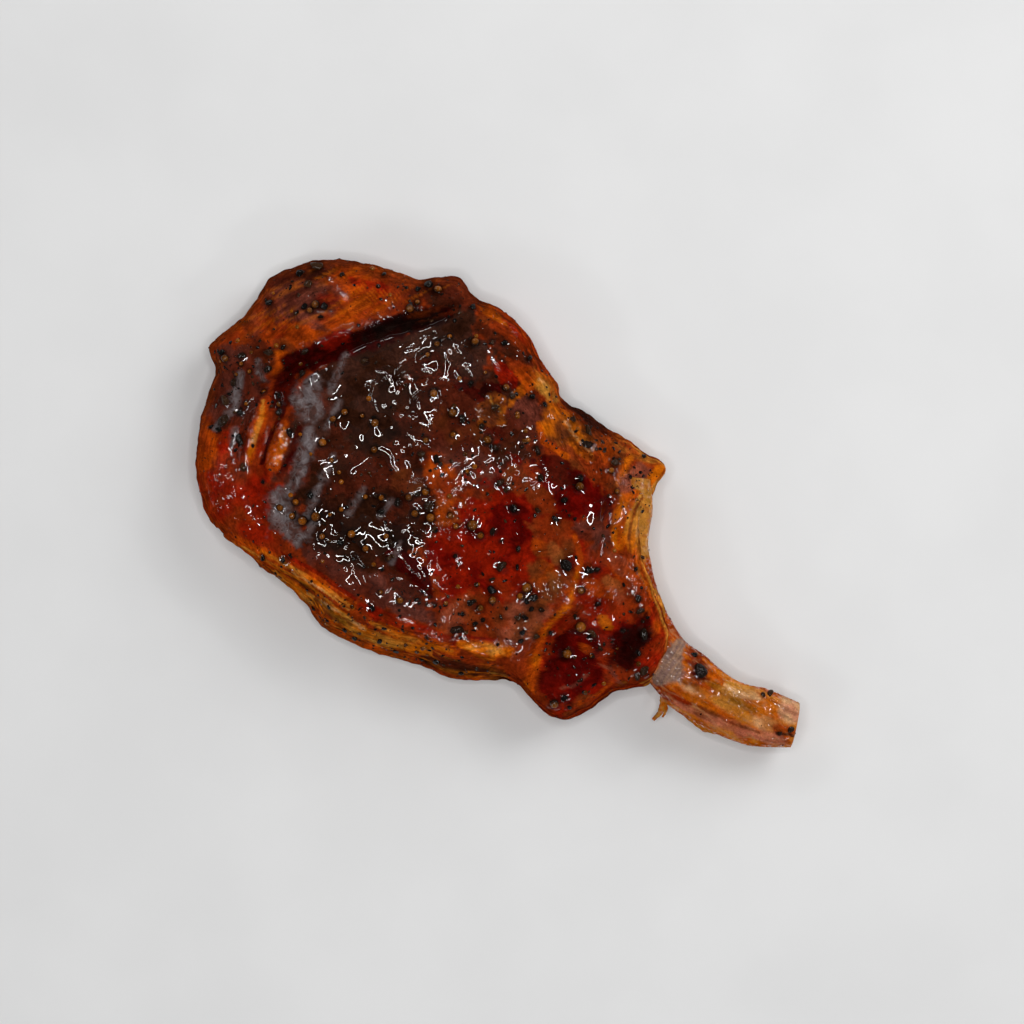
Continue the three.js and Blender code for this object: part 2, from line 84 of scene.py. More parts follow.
# Seams and folds in the top: (path, width, depth)
CAP_SEAM = [(-59, -4), (-55, 3), (-51, 12.4), (-44, 23), (-35.4, 34.8), (-26.6, 45), (-22.2, 51.4)]
TAIL_SEAM = [(63, -40), (59.5, -30), (60, -20), (64, -11), (68, -2), (68, 6)]
GROOVES = [
    (CAP_SEAM, 1.9, 4),
    ([(-50, 10), (-44, 23), (-35.4, 34.8), (-26.6, 45)], 6, 0.3),
    ([(-59, -4), (-58, -14), (-54, -26)], 2.2, 1.6),
    ([(-55, 3), (-51, -9), (-47, -22), (-43, -31)], 2.2, 2),
    (TAIL_SEAM, 2.4, 2.6),
    ([(16, 43), (26, 38), (36, 34), (47, 31), (54, 27), (58, 16), (60, 8)], 2.2, 1.5),
]

# The crinkled fringe along the upper side of the fold by the cap muscle, with half widths
FRINGE = [(-56, 14.6, 1), (-52.2, 20, 1.2), (-47.4, 25.8, 1.4), (-43.4, 29.6, 1.5), (-40.6, 33.2, 1.6),
          (-38.2, 37, 1.6), (-34.8, 40.8, 1.4), (-31, 44.8, 1.1)]
# The raised strip of fat near the tail muscle, with half widths
STRIP = [(36, -38.6, 0.8), (42, -36.2, 1.6), (48, -33.6, 1.9), (53, -30.8, 1.2)]

# Rises and hollows: (middle, reach along and across, turn, height)
MOUNDS = [
    ((-70, 30), (14, 8), 45, 1.2), ((-46, 42), (14, 6), 30, 1.4), ((-30, 57), (8, 4), 20, 1.2),
    ((-56, -15), (11, 2.2), 108, 1.8), ((-45, -17), (8, 3.5), 112, 1.2), ((-30, 8), (14, 10), 60, -1.2),
    ((7, 31), (5.5, 4.5), 30, 1.2), ((20, 44), (6, 4), 130, 1.6), ((2, 2), (20, 13), 20, 0.9),
    ((36, 12), (13, 16), 0, -1), ((30, -22), (18, 8), 15, 0.9), ((68, -25), (6.5, 6), 0, -2.2),
    ((74, -33), (10, 4), 30, 1.6), ((83, -13), (8, 7), 0, -4.6), ((75, -6), (6, 4), 120, 1.5),
    ((88, -21), (8, 3.5), 25, 1.8),
]

# The fat edge: (angle, depth inwards from the outline), and the crease along its side
FAT_EDGE = [(226, 0.4), (236, 4), (248, 6), (262, 9), (285, 11.5), (303, 12.5), (317, 12), (326, 9)]
FAT_SHELF = {"height": 10.5, "width": 2.4, "depth": 1.3}
FAT_STEPS = 160
FAT_GAP = 0.02

# The line beyond which the cap muscle lies: the way it faces, its distance and how soft the change is
CAP_FACES = (-0.64, 0.77)
CAP_DISTANCE = 50
CAP_SOFTNESS = 6

WALL_REACH = 62  # a usual distance of the walls from the origin, which turns angles into lengths
FOOT_HEIGHT = 3  # below this the fine forms fade towards the flat foot
MEAT_CREASE = 60  # edges sharper than this stay sharp, in degrees
RIB_CREASE = 48

# The rib: (x, y, height of its middle, half width, half height), from the chine to the sawn tip
RIB = [
    (57, 38, 13, 3.8, 4.6), (61.5, 29, 13, 5.6, 5.4), (65.4, 19.2, 13, 6.1, 5.6),
    (72.6, 11.2, 12.6, 5.9, 5.6), (80.7, 4, 12.3, 6.2, 5.6), (88.7, -1.7, 12.2, 7.2, 5.7),
    (96.7, -6.2, 12, 8.8, 5.9), (106, -8, 11.6, 9.9, 5.9), (114, -8.7, 11, 9.3, 5.7),
    (122, -8.1, 10.2, 9.2, 5.4), (130, -5.9, 9.4, 9.5, 5.2), (137, -3.2, 8.8, 8.4, 5),
    (142, -1.2, 8.3, 7.2, 4.6),
]
RIB_STEPS = 300
RIB_SIDES = 112
RIB_SQUARENESS = 2.6
END_RINGS = 14

# Strands of fat that cling to the rib: (name, path as (x, y, height, half width), seed of its knots)
STRANDS = [
    ("shred", [(100.5, -14, 8.5, 1.7), (103, -18, 7, 1.3), (104, -21.5, 5, 0.9),
        (103.6, -25, 3.4, 0.5)], 51),
    ("flap", [(104, -15.4, 8.4, 1), (111, -16.8, 7.8, 1.5), (119, -17.2, 7.2, 1.9),
        (126, -14.6, 7, 0.8)], 57),
    ("shred_fork", [(102.6, -17, 7.2, 0.9), (105, -20, 6, 0.6), (105.6, -22.5, 4.8, 0.3)], 53),
]
STRAND_STEPS = 40
STRAND_SIDES = 20
STRAND_END_RINGS = 3
STRAND_WET = 0.9
ROUND = 2  # the squareness of a round tube

# Where the photo was taken from, and the heights of the plane that grains were read off on and of their own
PHOTO_TAKEN_FROM = (37.5, 47.2, 959)
READING_HEIGHT = 10
GRAIN_HEIGHT = 24.5


def on_top(readings):
    """Moves grains that were read off the photo up to the top of the chop, which is nearer to the camera."""
    foot_x, foot_y, height = PHOTO_TAKEN_FROM
    nearer = (height - GRAIN_HEIGHT) / (height - READING_HEIGHT)
    return [
        (round(foot_x + (x - foot_x) * nearer, 1), round(foot_y + (y - foot_y) * nearer, 1), radius)
        for x, y, radius in readings
    ]


# Grains pressed into the glaze, as in the model: (x, y, radius) read off the photo, and how flat they are
PEPPER = on_top([
    (53, 2, 2), (34.8, -35, 1.9), (-65, -19.5, 1.8), (-57, -21.5, 1.7), (59.5, 4.2, 1.7), (37.3, 38, 1.6),
    (5.7, -6.3, 1.6), (35.5, -10, 1.6), (37.3, -18, 1.5), (71.7, -12, 1.5), (-66, 32, 1.4),
    (-65, 6.5, 1.4), (-68.5, -14, 1.4), (24.8, 27.5, 1.4), (33.3, -25, 1.4), (49.5, -12.5, 1.4),
    (-58, 29, 1.3), (6.5, 32, 1.3), (20.3, 12.3, 1.3), (35, 41.7, 1.3), (29, 8, 1.3), (1.8, -23, 1.3),
    (-62, 2.3, 1.2), (-52, 7, 1.2), (-24.3, -46.5, 1.2), (-51.5, -7.5, 1.2), (14, 41.2, 1.2),
    (35.6, 11.5, 1.2), (-0.5, 22.8, 1.2), (-5, 6.3, 1.2), (-3.5, -10.5, 1.2), (41.7, 12.3, 1.2),
    (54, -14.3, 1.2), (-73.5, 20.3, 1.1), (-71.7, 1, 1.1), (-45, -11, 1.1), (-69, -7.5, 1.1),
    (-51.5, -28.5, 1.1), (-28, -24, 1.1), (13.3, 21, 1.1), (-0.5, 7.8, 1.1), (29, 42, 1.1),
    (-6.3, -16, 1.1), (41.5, 27.5, 1.1), (68, -3.4, 1.1), (91.5, -16.3, 1.1), (75.5, -34.5, 1.1),
    (-63, 25.5, 1), (-55, 13.5, 1), (-37, 21.5, 1), (-65, -22.8, 1), (-62, -14.5, 1), (-78, -1.5, 1),
    (5.8, 24.5, 1), (6.5, 50.8, 1), (-2.5, 50.5, 1), (30.5, 20.7, 1), (-4.5, 34, 1), (23.5, 11.8, 1),
    (27, -2, 1), (-12, -31.5, 1), (11, -11.5, 1), (4, -27, 1), (8, -44, 1), (62, 6, 1), (41, 19, 1),
    (48.5, -14.8, 1), (54, -26.5, 1), (64, -10.5, 1), (76.5, -15, 1), (-62, 10.7, 0.9),
    (-67.5, -23.5, 0.9), (-54.5, -3, 0.9), (9, 37.7, 0.9), (1.5, 7, 0.9), (37, -2.5, 0.9),
    (35.2, -15, 0.9), (38.5, -30, 0.9), (51, -16, 0.9), (48.9, -21, 0.9),
])
MUSTARD = on_top([
    (20.5, -4, 1.8), (67.5, -12.4, 1.8), (-22.8, -29, 1.7), (46.3, -11.2, 1.7), (-26, -32.3, 1.6),
    (68.5, -22.3, 1.6), (8, -9.3, 1.5), (42.6, 25.2, 1.5), (74, -38, 1.5), (-60.5, 28, 1.4),
    (-34.4, 43.5, 1.4), (-23.3, 6.8, 1.4), (-34.3, -8, 1.4), (-10.5, 45.8, 1.4), (-13, 25, 1.4),
    (-4.3, 22.8, 1.4), (10, 21.8, 1.4), (-10.2, -27.3, 1.4), (-76, -2.7, 1.3), (2.3, -2.8, 1.3),
    (3.3, -10.5, 1.3), (14, -37, 1.3), (61.3, -2.3, 1.3), (39, -20.5, 1.3), (-33.6, 4, 1.2),
    (-35.3, 0.2, 1.2), (-29.5, -33, 1.2), (-34.5, -33, 1.2), (-19, -0.5, 1.2), (5.5, 39, 1.2),
    (-1.2, -7.3, 1.2), (-4.2, -28.8, 1.2), (24.5, -5, 1.2), (46, -14.5, 1.2), (37, -24.8, 1.2),
    (-61, 25.5, 1.1), (-31, -28.7, 1.1), (-6.8, 11, 1.1), (-18, -33, 1.1), (-33.3, 46.3, 1),
    (-20.7, 38.7, 1), (-53, -5.2, 1), (-0.3, 17.3, 1), (28.8, 8.2, 1), (12.8, -5, 1), (16.5, -6.8, 1),
    (-8.5, -12.3, 1), (-21.2, 34.2, 0.9),
])
PEPPER_FLAT = 0.62
PEPPER_SWELL = 1.1  # broken faces take some of a grain's size away
PEPPER_DEEP = 1.2
MUSTARD_FLAT = 0.9
SEED_LUMPS = 0.05
# how bright the painted light on each seed may be, drawn at random
SEED_LIGHT_RANGE = (0.35, 1)
SEED_LIT_FROM = (0.35, 0.2, 0.85)  # the way the painted light on each seed comes from: that side is pale
GRAIN_SEED = 20  # of the model's own draws
CHIP_SEED = 7
GRAIN_SINK = 0.35
EDGE_PEPPER = {"count": 9, "from": 258, "to": 318, "low": 8, "high": 17, "radius": (0.9, 1.3)}
RIB_PEPPER = [
    (106.6, -2.8, 2.1), (102.2, 0.2, 1), (128, 1.4, 0.9), (129.8, 2.9, 1.2), (141.3, -3, 1.1),
    (139, -5.8, 0.9),
]

# Grains that the model leaves out
SMALL_PEPPER = on_top([
    (52.7, -24, 0.9), (57, -22.7, 0.9), (50.8, -19.5, 0.9), (78.5, -36.3, 0.9), (-57, 25.5, 0.8),
    (-58.7, 40.5, 0.8), (18.8, 41, 0.8), (-6, 48.8, 0.8), (33.5, -29.5, 0.8), (21.5, -15, 0.8),
    (0.5, -5, 0.8), (44.3, -23.7, 0.8), (39.8, -27.7, 0.8), (60.3, -19.5, 0.8), (76, -18.5, 0.8),
    (40, -7.3, 0.8), (-64.5, 22, 0.7), (-43.5, -29, 0.7), (4, -31.5, 0.7), (22, -33, 0.7),
    (-10.5, -13, 0.7), (48.2, -31.9, 0.7), (23.5, -16.3, 0.6), (31, -3, 0.6), (-67.5, 38.5, 1.7),
    (-33.3, 53, 1.5), (-35.6, 50, 0.9), (-47.7, 48, 0.9), (-70.5, 33.5, 1.3), (-30.5, -49.7, 0.9),
    (-17.5, 54.5, 1), (28, -42.2, 0.7), (48, 37.8, 1.4), (54.7, 36.5, 0.7), (72, 12.7, 0.8),
    (72, 16.8, 0.8), (78, 5.2, 1.2), (81, 2.3, 1.1), (86, -3, 1.7), (88, -9.5, 0.8), (92.3, -13.5, 1.6),
    (79.5, -6, 0.8), (54.8, 44.5, 0.8), (87, 9.5, 1.2), (88.5, 8, 1.3),
])
SMALL_MUSTARD = on_top([
    (-59.5, -5, 0.9), (-28.5, -11, 0.9), (-18.5, 42.7, 0.9), (-13, -14.8, 0.9), (-17.5, -22.5, 0.9),
    (-28.2, 6.5, 0.8), (-70.5, -1.2, 0.8), (-66.7, -1.8, 0.8), (-62, -11, 0.8), (13.2, 34, 0.8),
    (10, 9.8, 0.8), (7.5, -38, 0.8), (-19.5, -26, 0.8), (-70, -5, 0.7), (-30.2, 53.3, 1.4),
    (48.5, 35, 1.1), (53.5, 30.3, 0.9),
])

# Loose grains: how many, how many faces are broken off each, and their forms
CHIP_CUTS = 9
DUST_CUTS = 5
CHIP_DEPTHS = (0.45, 0.85)  # from a grain's middle to a broken face, where 1 is its radius
FLAKES = {
    "count": 420, "cuts": CHIP_CUTS, "sizes": (0.35, 0.75), "flat": 0.7, "longest": 1.5, "darkness": 3,
}
TOP_DUST = {
    "count": 1300, "cuts": DUST_CUTS, "sizes": (0.13, 0.32), "flat": 0.6, "longest": 1.6, "darkness": 2,
}
WALL_DUST = {"count": 260, "heights": (2, 19), "sizes": (0.15, 0.45), "flat": 0.6, "stretch": (1.3, 0.8)}
LOOSE_SEEDS = {"count": 60, "sizes": (0.5, 0.85), "flat": 0.8}
NARROWEST = 0.7
LOOSE_SPIN = 6.3  # in radians
LOOSE_SINK = 0.2
SEED_SINK = 0.1
EDGE_SHADE = 0.1

# Rays that find the surface start this high and this far out
RAY_HEIGHT = 3 * EYE_HEIGHT
RAY_REACH = 200


# Smooth tables, paths and noise

def hermite(before, start, end, after, position, column):
    """Cubic value between two rows, with slopes taken from the rows beside them."""
    span = end[:, 0] - start[:, 0]
    t = (position - start[:, 0]) / span
    slope_in = (end[:, column] - before[:, column]) / (end[:, 0] - before[:, 0]) * span
    slope_out = (after[:, column] - start[:, column]) / (after[:, 0] - start[:, 0]) * span
    return (
        (2 * t**3 - 3 * t**2 + 1) * start[:, column] + (t**3 - 2 * t**2 + t) * slope_in
        + (3 * t**2 - 2 * t**3) * end[:, column] + (t**3 - t**2) * slope_out
    )


def around(table, column, angle):
    """A column of a table whose rows go once round the origin, read at angles."""
    rows = np.array(table, float)
    turn = np.zeros_like(rows[:1])
    turn[0, 0] = 360
    rows = np.vstack([rows[-1:] - turn, rows, rows[:2] + turn])
    a = np.mod(np.atleast_1d(np.asarray(angle, float)), 360)
    a = np.where(a < table[0][0], a + 360, a)
    i = np.clip(np.searchsorted(rows[:, 0], a, side="right") - 1, 1, len(rows) - 3)
    return hermite(rows[i - 1], rows[i], rows[i + 1], rows[i + 2], a, column)


def along(table, column, position):
    """A column of a table that runs once from its first row to its last."""
    rows = np.array(table, float)
    position = np.atleast_1d(np.asarray(position, float))
    last = len(rows) - 1
    i = np.clip(np.searchsorted(rows[:, 0], position, side="right") - 1, 0, last - 1)
    return hermite(
        rows[np.maximum(i - 1, 0)], rows[i], rows[i + 1], rows[np.minimum(i + 2, last)], position, column
    )


def bell(d):
    return np.exp(-d * d)


def smoothstep(low, high, value):
    t = np.clip((value - low) / (high - low), 0, 1)
    return t * t * (3 - 2 * t)


def sector(angle, start, full, fading, end):
    """1 between two angles, with a soft start and end."""
    return smoothstep(start, full, angle) * smoothstep(end, fading, angle)


def path_distance(path, x, y):
    """Distance from a path, counted in half widths where its points carry one: (x, y, half width)."""
    nearest = np.full(np.shape(x), np.inf)
    for start, end in zip(path, path[1:]):
        (ax, ay), (bx, by) = start[:2], end[:2]
        dx, dy = bx - ax, by - ay
        t = np.clip(((x - ax) * dx + (y - ay) * dy) / (dx * dx + dy * dy), 0, 1)
        distance = np.hypot(x - ax - t * dx, y - ay - t * dy)
        if len(start) > 2:
            distance = distance / (start[2] + (end[2] - start[2]) * t)
        nearest = np.minimum(nearest, distance)
    return nearest


def oval_distance(at, reach, turn, x, y):
    """Distance from the middle of a turned oval, where 1 is its rim."""
    c, s = math.cos(math.radians(turn)), math.sin(math.radians(turn))
    dx, dy = x - at[0], y - at[1]
    return np.hypot((dx * c + dy * s) / reach[0], (dy * c - dx * s) / reach[1])


GRADIENTS = np.array([v for v in product((-1, 0, 1), repeat=3) if sum(map(abs, v)) == 2], float)


def noise(points, size, seed):
    """Smooth gradient noise of about -1 to 1, with lumps of that size."""
    cells = points / np.asarray(size, float)
    base = np.floor(cells).astype(np.int64)
    inside = cells - base
    fade = inside**3 * (inside * (inside * 6 - 15) + 10)
    total = np.zeros(len(points))
    for corner in product((0, 1), repeat=3):
        key = (base + corner) * (73856093, 19349663, 83492791)
        mixed = (key[:, 0] ^ key[:, 1] ^ key[:, 2] ^ (seed * 2654435761)) & 0xFFFFFFFF
        mixed = ((mixed ^ (mixed >> 15)) * 739982445) & 0xFFFFFFFF
        mixed = ((mixed ^ (mixed >> 12)) * 695872825) & 0xFFFFFFFF
        gradient = GRADIENTS[((mixed ^ (mixed >> 15)) % 12).astype(int)]
        weight = np.prod(np.where(np.array(corner) == 1, fade, 1 - fade), axis=1)
        total += weight * ((inside - corner) * gradient).sum(axis=1)
    return total


def noises(points, *layers):
    """Noise of several sizes together: (strength, size, seed)."""
    return sum(strength * noise(points, size, seed) for strength, size, seed in layers)


def turned(points, angle):
    """The points turned about Z, so that noise stretched along X runs at that angle."""
    c, s = math.cos(math.radians(angle)), math.sin(math.radians(angle))
    x, y, z = points.T
    return np.stack([x * c + y * s, y * c - x * s, z], axis=1)


def draws(seed):
    """A repeatable stream of numbers from 0 to 1."""
    state = seed
    while True:
        state = (state * 1664525 + 1013904223) % 2**32
        yield state / 2**32


# The slab of meat and fat

def unevenness(x, y):
    return np.sin(x * 0.31 + 1.3 * np.sin(y * 0.17)) * np.sin(y * 0.37 + 0.8) + 0.6 * np.sin(
        x * 0.13 - y * 0.52 + 2
    ) * np.sin(x * 0.58 + y * 0.21)


def relief(x, y):
    """Everything that seams, mounds and unevenness add to the smooth top."""
    z = RELIEF * unevenness(x, y)
    for path, width, depth in GROOVES:
        z = z - depth * bell(path_distance(path, x, y) / width)
    for at, reach, turn, height in MOUNDS:
        z = z + height * bell(oval_distance(at, reach, turn, x, y))
    return z


def top_points(angle, share):
    rim = around(OUTLINE, 1, angle) - around(EDGE, 1, angle)
    radius = share * (CORE_RADIUS + (rim - CORE_RADIUS) * share)
    x, y = radius * np.cos(np.radians(angle)), radius * np.sin(np.radians(angle))
    smooth = EYE_HEIGHT - (EYE_HEIGHT - around(EDGE, 2, angle)) * share**CROWN_POWER
    return np.stack([x, y, smooth + relief(x, y)], axis=1)


def side_points(angle, share):
    width, high, widest, tuck, roundness = (around(EDGE, column, angle) for column in range(1, 6))
    edge = around(OUTLINE, 1, angle)
    if share <= 0.5:
        turn = share * math.pi
        radius = edge - width * (1 - math.sin(turn) ** (2 / roundness))
        z = widest + (high - widest) * max(math.cos(turn), 0) ** (2 / roundness)
    else:
        turn = (share - 0.5) * math.pi
        radius = edge - tuck * (1 - math.cos(turn))
        z = widest * (1 - math.sin(turn))
    c, s = np.cos(np.radians(angle)), np.sin(np.radians(angle))
    z = z + relief(radius * c, radius * s) * max(0, 1 - 2 * share)
    in_fat = (angle > FAT_EDGE[0][0]) & (angle < FAT_EDGE[-1][0])
    radius = radius - in_fat * FAT_SHELF["depth"] * bell((z - FAT_SHELF["height"]) / FAT_SHELF["width"])
    return np.stack([radius * c, radius * s, np.maximum(z, 0)], axis=1)


def disc_cells(cells):
    """Angle and share of every point of a square grid that is bent into a round disc."""
    steps = 2 * np.arange(cells + 1) / cells - 1
    u, v = (grid.ravel() for grid in np.meshgrid(steps, steps, indexing="ij"))
    across = np.maximum(np.abs(u), np.abs(v))
    flat = np.abs(u) >= np.abs(v)
    with np.errstate(divide="ignore", invalid="ignore"):
        angle = np.where(flat, 45 * v / u + 180 * (u < 0), 90 - 45 * u / v + 180 * (v < 0))
    return np.mod(np.where(across == 0, 0, angle), 360), across


def slab():
    """Points and faces of the closed slab: an even grid on top, then rings down the side and in the foot."""
    n = TOP_CELLS
    angle, share = disc_cells(n)
    points = [top_points(angle, share)]
    grid = np.arange((n + 1) ** 2).reshape(n + 1, n + 1)
    a, b, c, d = grid[:-1, :-1], grid[1:, :-1], grid[1:, 1:], grid[:-1, 1:]
    faces = [np.stack([a, b, c, d], axis=-1).reshape(-1, 4)]
    border = np.concatenate([grid[:-1, 0], grid[-1, :-1], grid[:0:-1, -1], grid[0, :0:-1]])
    angles = angle[border]
    upper, count, sectors = border, len(angle), len(border)
    rings = [side_points(angles, k / WALL_RINGS) for k in range(1, WALL_RINGS + 1)]
    foot = rings[-1]
    rings += [foot * (1 - k / FOOT_RINGS) for k in range(1, FOOT_RINGS)]
    for ring in rings:
        lower = np.arange(count, count + sectors)
        faces.append(np.stack([upper, lower, np.roll(lower, -1), np.roll(upper, -1)], axis=1))
        points.append(ring)
        upper, count = lower, count + sectors
    points.append(np.zeros((1, 3)))
    centre = np.full(sectors, count)
    return np.vstack(points), np.vstack(faces), np.stack([upper, centre, np.roll(upper, -1)], axis=1)


def vertex_normals(points, quads, triangles):
    normals = np.zeros_like(points)
    for faces in (quads, triangles):
        corners = points[faces]
        face_normals = np.cross(corners[:, 2] - corners[:, 0], corners[:, -1] - corners[:, 1])
        for k in range(faces.shape[1]):
            np.add.at(normals, faces[:, k], face_normals)
    return normals / np.maximum(np.linalg.norm(normals, axis=1, keepdims=True), 1e-12)


def make_object(name, points, faces, smooth=True):
    """A mesh object from points in millimetres."""
    mesh = bpy.data.meshes.new(name)
    mesh.from_pydata((points * MM).tolist(), [], faces)
    mesh.validate()
    mesh.update()
    if smooth:
        mesh.shade_smooth()
    made = bpy.data.objects.new(name, mesh)
    bpy.context.scene.collection.objects.link(made)
    return made


def carve(target, cutter, operation):
    """Cuts or keeps what the cutter holds, and makes the result the target's own mesh."""
    modifier = target.modifiers.new("carve", "BOOLEAN")
    modifier.object = cutter
    modifier.operation = operation
    modifier.solver = "MANIFOLD"
    depsgraph = bpy.context.evaluated_depsgraph_get()
    mesh = bpy.data.meshes.new_from_object(target.evaluated_get(depsgraph))
    target.modifiers.clear()
    target.data = mesh


def keep_largest(target):
    """Drops the scraps that a cut leaves beside the main body."""
    mesh = bmesh.new()
    mesh.from_mesh(target.data)
    left, islands = set(mesh.verts), []
    while left:
        island, front = set(), [next(iter(left))]
        while front:
            vertex = front.pop()
            if vertex in island:
                continue
            island.add(vertex)
            front += [edge.other_vert(vertex) for edge in vertex.link_edges]
        islands.append(island)
        left -= island
    keep = max(islands, key=len)
    bmesh.ops.delete(mesh, geom=[v for v in mesh.verts if v not in keep], context="VERTS")
    mesh.to_mesh(target.data)
    mesh.free()


def points_of(target):
    """Vertices in millimetres, and their normals."""
    mesh = target.data
    points = np.empty(len(mesh.vertices) * 3)
    mesh.vertices.foreach_get("co", points)
    normals = np.array([n.vector[:] for n in mesh.vertex_normals])
    return points.reshape(-1, 3) / MM, normals


def store(target, name, values):
    """A value or a colour on every vertex."""
    if values.ndim == 1:
        layer = target.data.attributes.new(name, "FLOAT", "POINT")
        layer.data.foreach_set("value", values.astype(np.float32))
    else:
        layer = target.data.attributes.new(name, "FLOAT_COLOR", "POINT")
        rgba = np.hstack([values, np.ones((len(values), 1))])
        layer.data.foreach_set("color", rgba.astype(np.float32).ravel())


# The rim of the fat and the fine forms of the surface

def polar(x, y):
    return np.mod(np.degrees(np.arctan2(y, x)), 360), np.hypot(x, y)


def depth_in_fat(x, y):
    """How far a point is outside the line between meat and fat, negative on the meat's side."""
    angle, radius = polar(x, y)
    first, last = FAT_EDGE[0][0], FAT_EDGE[-1][0]
    depth = along(FAT_EDGE, 1, np.clip(angle, first, last))
    beside = np.maximum(first - angle, angle - last) * math.radians(1) * radius
    return np.where(beside > 0, -beside, radius - (around(OUTLINE, 1, angle) - depth))


def in_cap(x, y):
    """1 on the cap muscle and 0 on the eye."""
    beyond = x * CAP_FACES[0] + y * CAP_FACES[1] - CAP_DISTANCE
    return smoothstep(0, CAP_SOFTNESS, beyond) * (x < 0)


def wall_strands(points, length, height, seed, reach=WALL_REACH):
    """Strands that run along the side walls."""
    x, y, z = points.T
    angle = np.radians(polar(x, y)[0])
    return noise(np.stack([angle * reach, z, np.zeros_like(z)], axis=1), (length, height, 1), seed)


# Where the glaze is crinkled into tiny folds: (middle, reach, turn)
CRINKLES = [
    ((7, 31), (7, 5), 33), ((13, -3), (8, 11), 53), ((57, -7), (9, 7), 20), ((-45, -17), (4, 9), 39),
    ((71, 16), (5, 16), 33), ((66, -1), (8, 6), 40), ((37, -37), (16, 3), 19), ((-56, -15), (3, 10), 22),
    ((57, 33), (8, 8), 0), ((26, 46), (10, 4), -20), ((-52, -38), (9, 5), -38),
    ((-55, 36.5), (6, 2.6), -15), ((-38, 37), (3, 8), -35), ((-4, 56), (12, 2), -6),
]


def crinkle(x, y):
    total = np.zeros(np.shape(x))
    for at, reach, turn in CRINKLES:
        total = np.maximum(total, smoothstep(1.3, 0.5, oval_distance(at, reach, turn, x, y)))
    return total


def fine_relief(points, normals, grains):
    """How far the fine forms of glaze, fibre and fat lift the surface, in millimetres."""
    x, y, z = points.T
    angle, _ = polar(x, y)
    up = np.clip(normals[:, 2], 0, 1)
    into_fat = depth_in_fat(x, y)
    lift = noises(points, (0.3, 11, 7), (0.13, 5.5, 1), (0.03, 2.4, 2))
    lift += 0.16 * crinkle(x, y) * noise(points, 1.7, 3)
    lift += 0.4 * bell(path_distance(FRINGE, x, y)) * (0.8 + 0.9 * noise(points, 4, 13))
    lift += 0.9 * bell(path_distance(STRIP, x, y))
    # fibres of the cap muscle
    lift += 0.22 * in_cap(x, y) * noise(turned(points, 60), (14, 2.2, 6), 4)
    # strands along the side of the fat edge and the lip at its top
    lift += smoothstep(-0.6, 0.8, into_fat) * (1 - up) * 1.1 * wall_strands(points, 16, 1.7, 5, 60)
    lift += 0.9 * bell(into_fat / 1.3) * (up > 0.1) * (angle > 228) * (angle < 325)
    # small lumps and notches down the sides
    lift += smoothstep(0.85, 0.4, up) * noises(points, (0.5, 4.6, 8), (0.28, 2.3, 9))
    # strands over the rib's side and the flank
    side = smoothstep(0.8, 0.3, up) * ((angle < 60) | (angle > 350))
    lift += 0.4 * side * wall_strands(points, 12, 1.8, 6, 75)
    # glaze drawn up round each large grain
    for gx, gy, size in grains:
        lift += (z > 12) * 0.22 * size * bell(np.hypot(x - gx, y - gy) / (1.7 * size))
    return lift * np.clip(z / FOOT_HEIGHT, 0, 1)


# Grains

def spin_draws(stream, count):
    """The model's own stretch and spin of each grain."""
    return [
        (1 + 0.35 * next(stream), 1 - 0.2 * next(stream), 2 * math.pi * next(stream)) for _ in range(count)
    ]


def unit_ball(subdivisions):
    ball = bmesh.new()
    bmesh.ops.create_icosphere(ball, subdivisions=subdivisions, radius=1)
    points = np.array([v.co[:] for v in ball.verts])
    faces = np.array([[v.index for v in f.verts] for f in ball.faces])
    ball.free()
    return points, faces


def chip(ball, rng, cuts=CHIP_CUTS):
    """A ball with flat faces broken off it, like cracked pepper."""
    points = ball.copy()
    for _ in range(cuts):
        normal = rng.normal(size=3)
        normal /= np.linalg.norm(normal)
        over = points @ normal - rng.uniform(*CHIP_DEPTHS)
        points -= np.clip(over, 0, None)[:, None] * normal
    return points


class Scatter:
    """Many small pieces of one kind, gathered into one mesh."""

    def __init__(self, name, subdivisions):
        self.name = name
        self.ball, self.faces = unit_ball(subdivisions)
        self.points, self.all_faces, self.shades = [], [], []

    def add(self, shape, place, normal, scale, spin, shade):
        tilt = Vector((0, 0, 1)).rotation_difference(normal).to_matrix() @ Matrix.Rotation(spin, 3, "Z")
        start = sum(len(p) for p in self.points)
        self.points.append((shape * scale) @ np.array(tilt).T + np.array(place))
        self.all_faces.append(self.faces + start)
        self.shades.append(shade * np.ones(len(shape)))

    def finish(self, smooth):
        made = make_object(self.name, np.vstack(self.points), np.vstack(self.all_faces).tolist(), smooth)
        store(made, "shade", np.concatenate(self.shades))
        return made


class Surface:
    """Finds the height and slope of finished meshes under a point."""

    def __init__(self, *targets):
        self.trees = []
        for mesh in (target.data for target in targets):
            places = [vertex.co[:] for vertex in mesh.vertices]
            self.trees.append(BVHTree.FromPolygons(places, [face.vertices[:] for face in mesh.polygons]))

    def hit(self, start, direction):
        best = None
        for tree in self.trees:
            place, normal, _, distance = tree.ray_cast(Vector(start) * MM, Vector(direction))
            if place is not None and (best is None or distance < best[2]):
                best = (np.array(place) / MM, normal, distance)
        return best


# The view

VIEW_MIDDLE = (28.9, 6.6, 10)  # what the middle of the picture shows
VIEW_WIDTH = 328  # how much of that plane the picture takes in
VIEW_TURN = 33  # how far the chop's length points down to the right
VIEW_TILT = 2.5  # lean of the camera from straight above, towards the picture's upper right
VIEW_DISTANCE = 950


def in_picture(right, up, height):
    """A place given along the picture's sides, in millimetres from the middle of the view."""
    c, s = math.cos(math.radians(VIEW_TURN)), math.sin(math.radians(VIEW_TURN))
    x = VIEW_MIDDLE[0] + right * c - up * s
    y = VIEW_MIDDLE[1] + right * s + up * c
    return Vector((x, y, height)) * MM


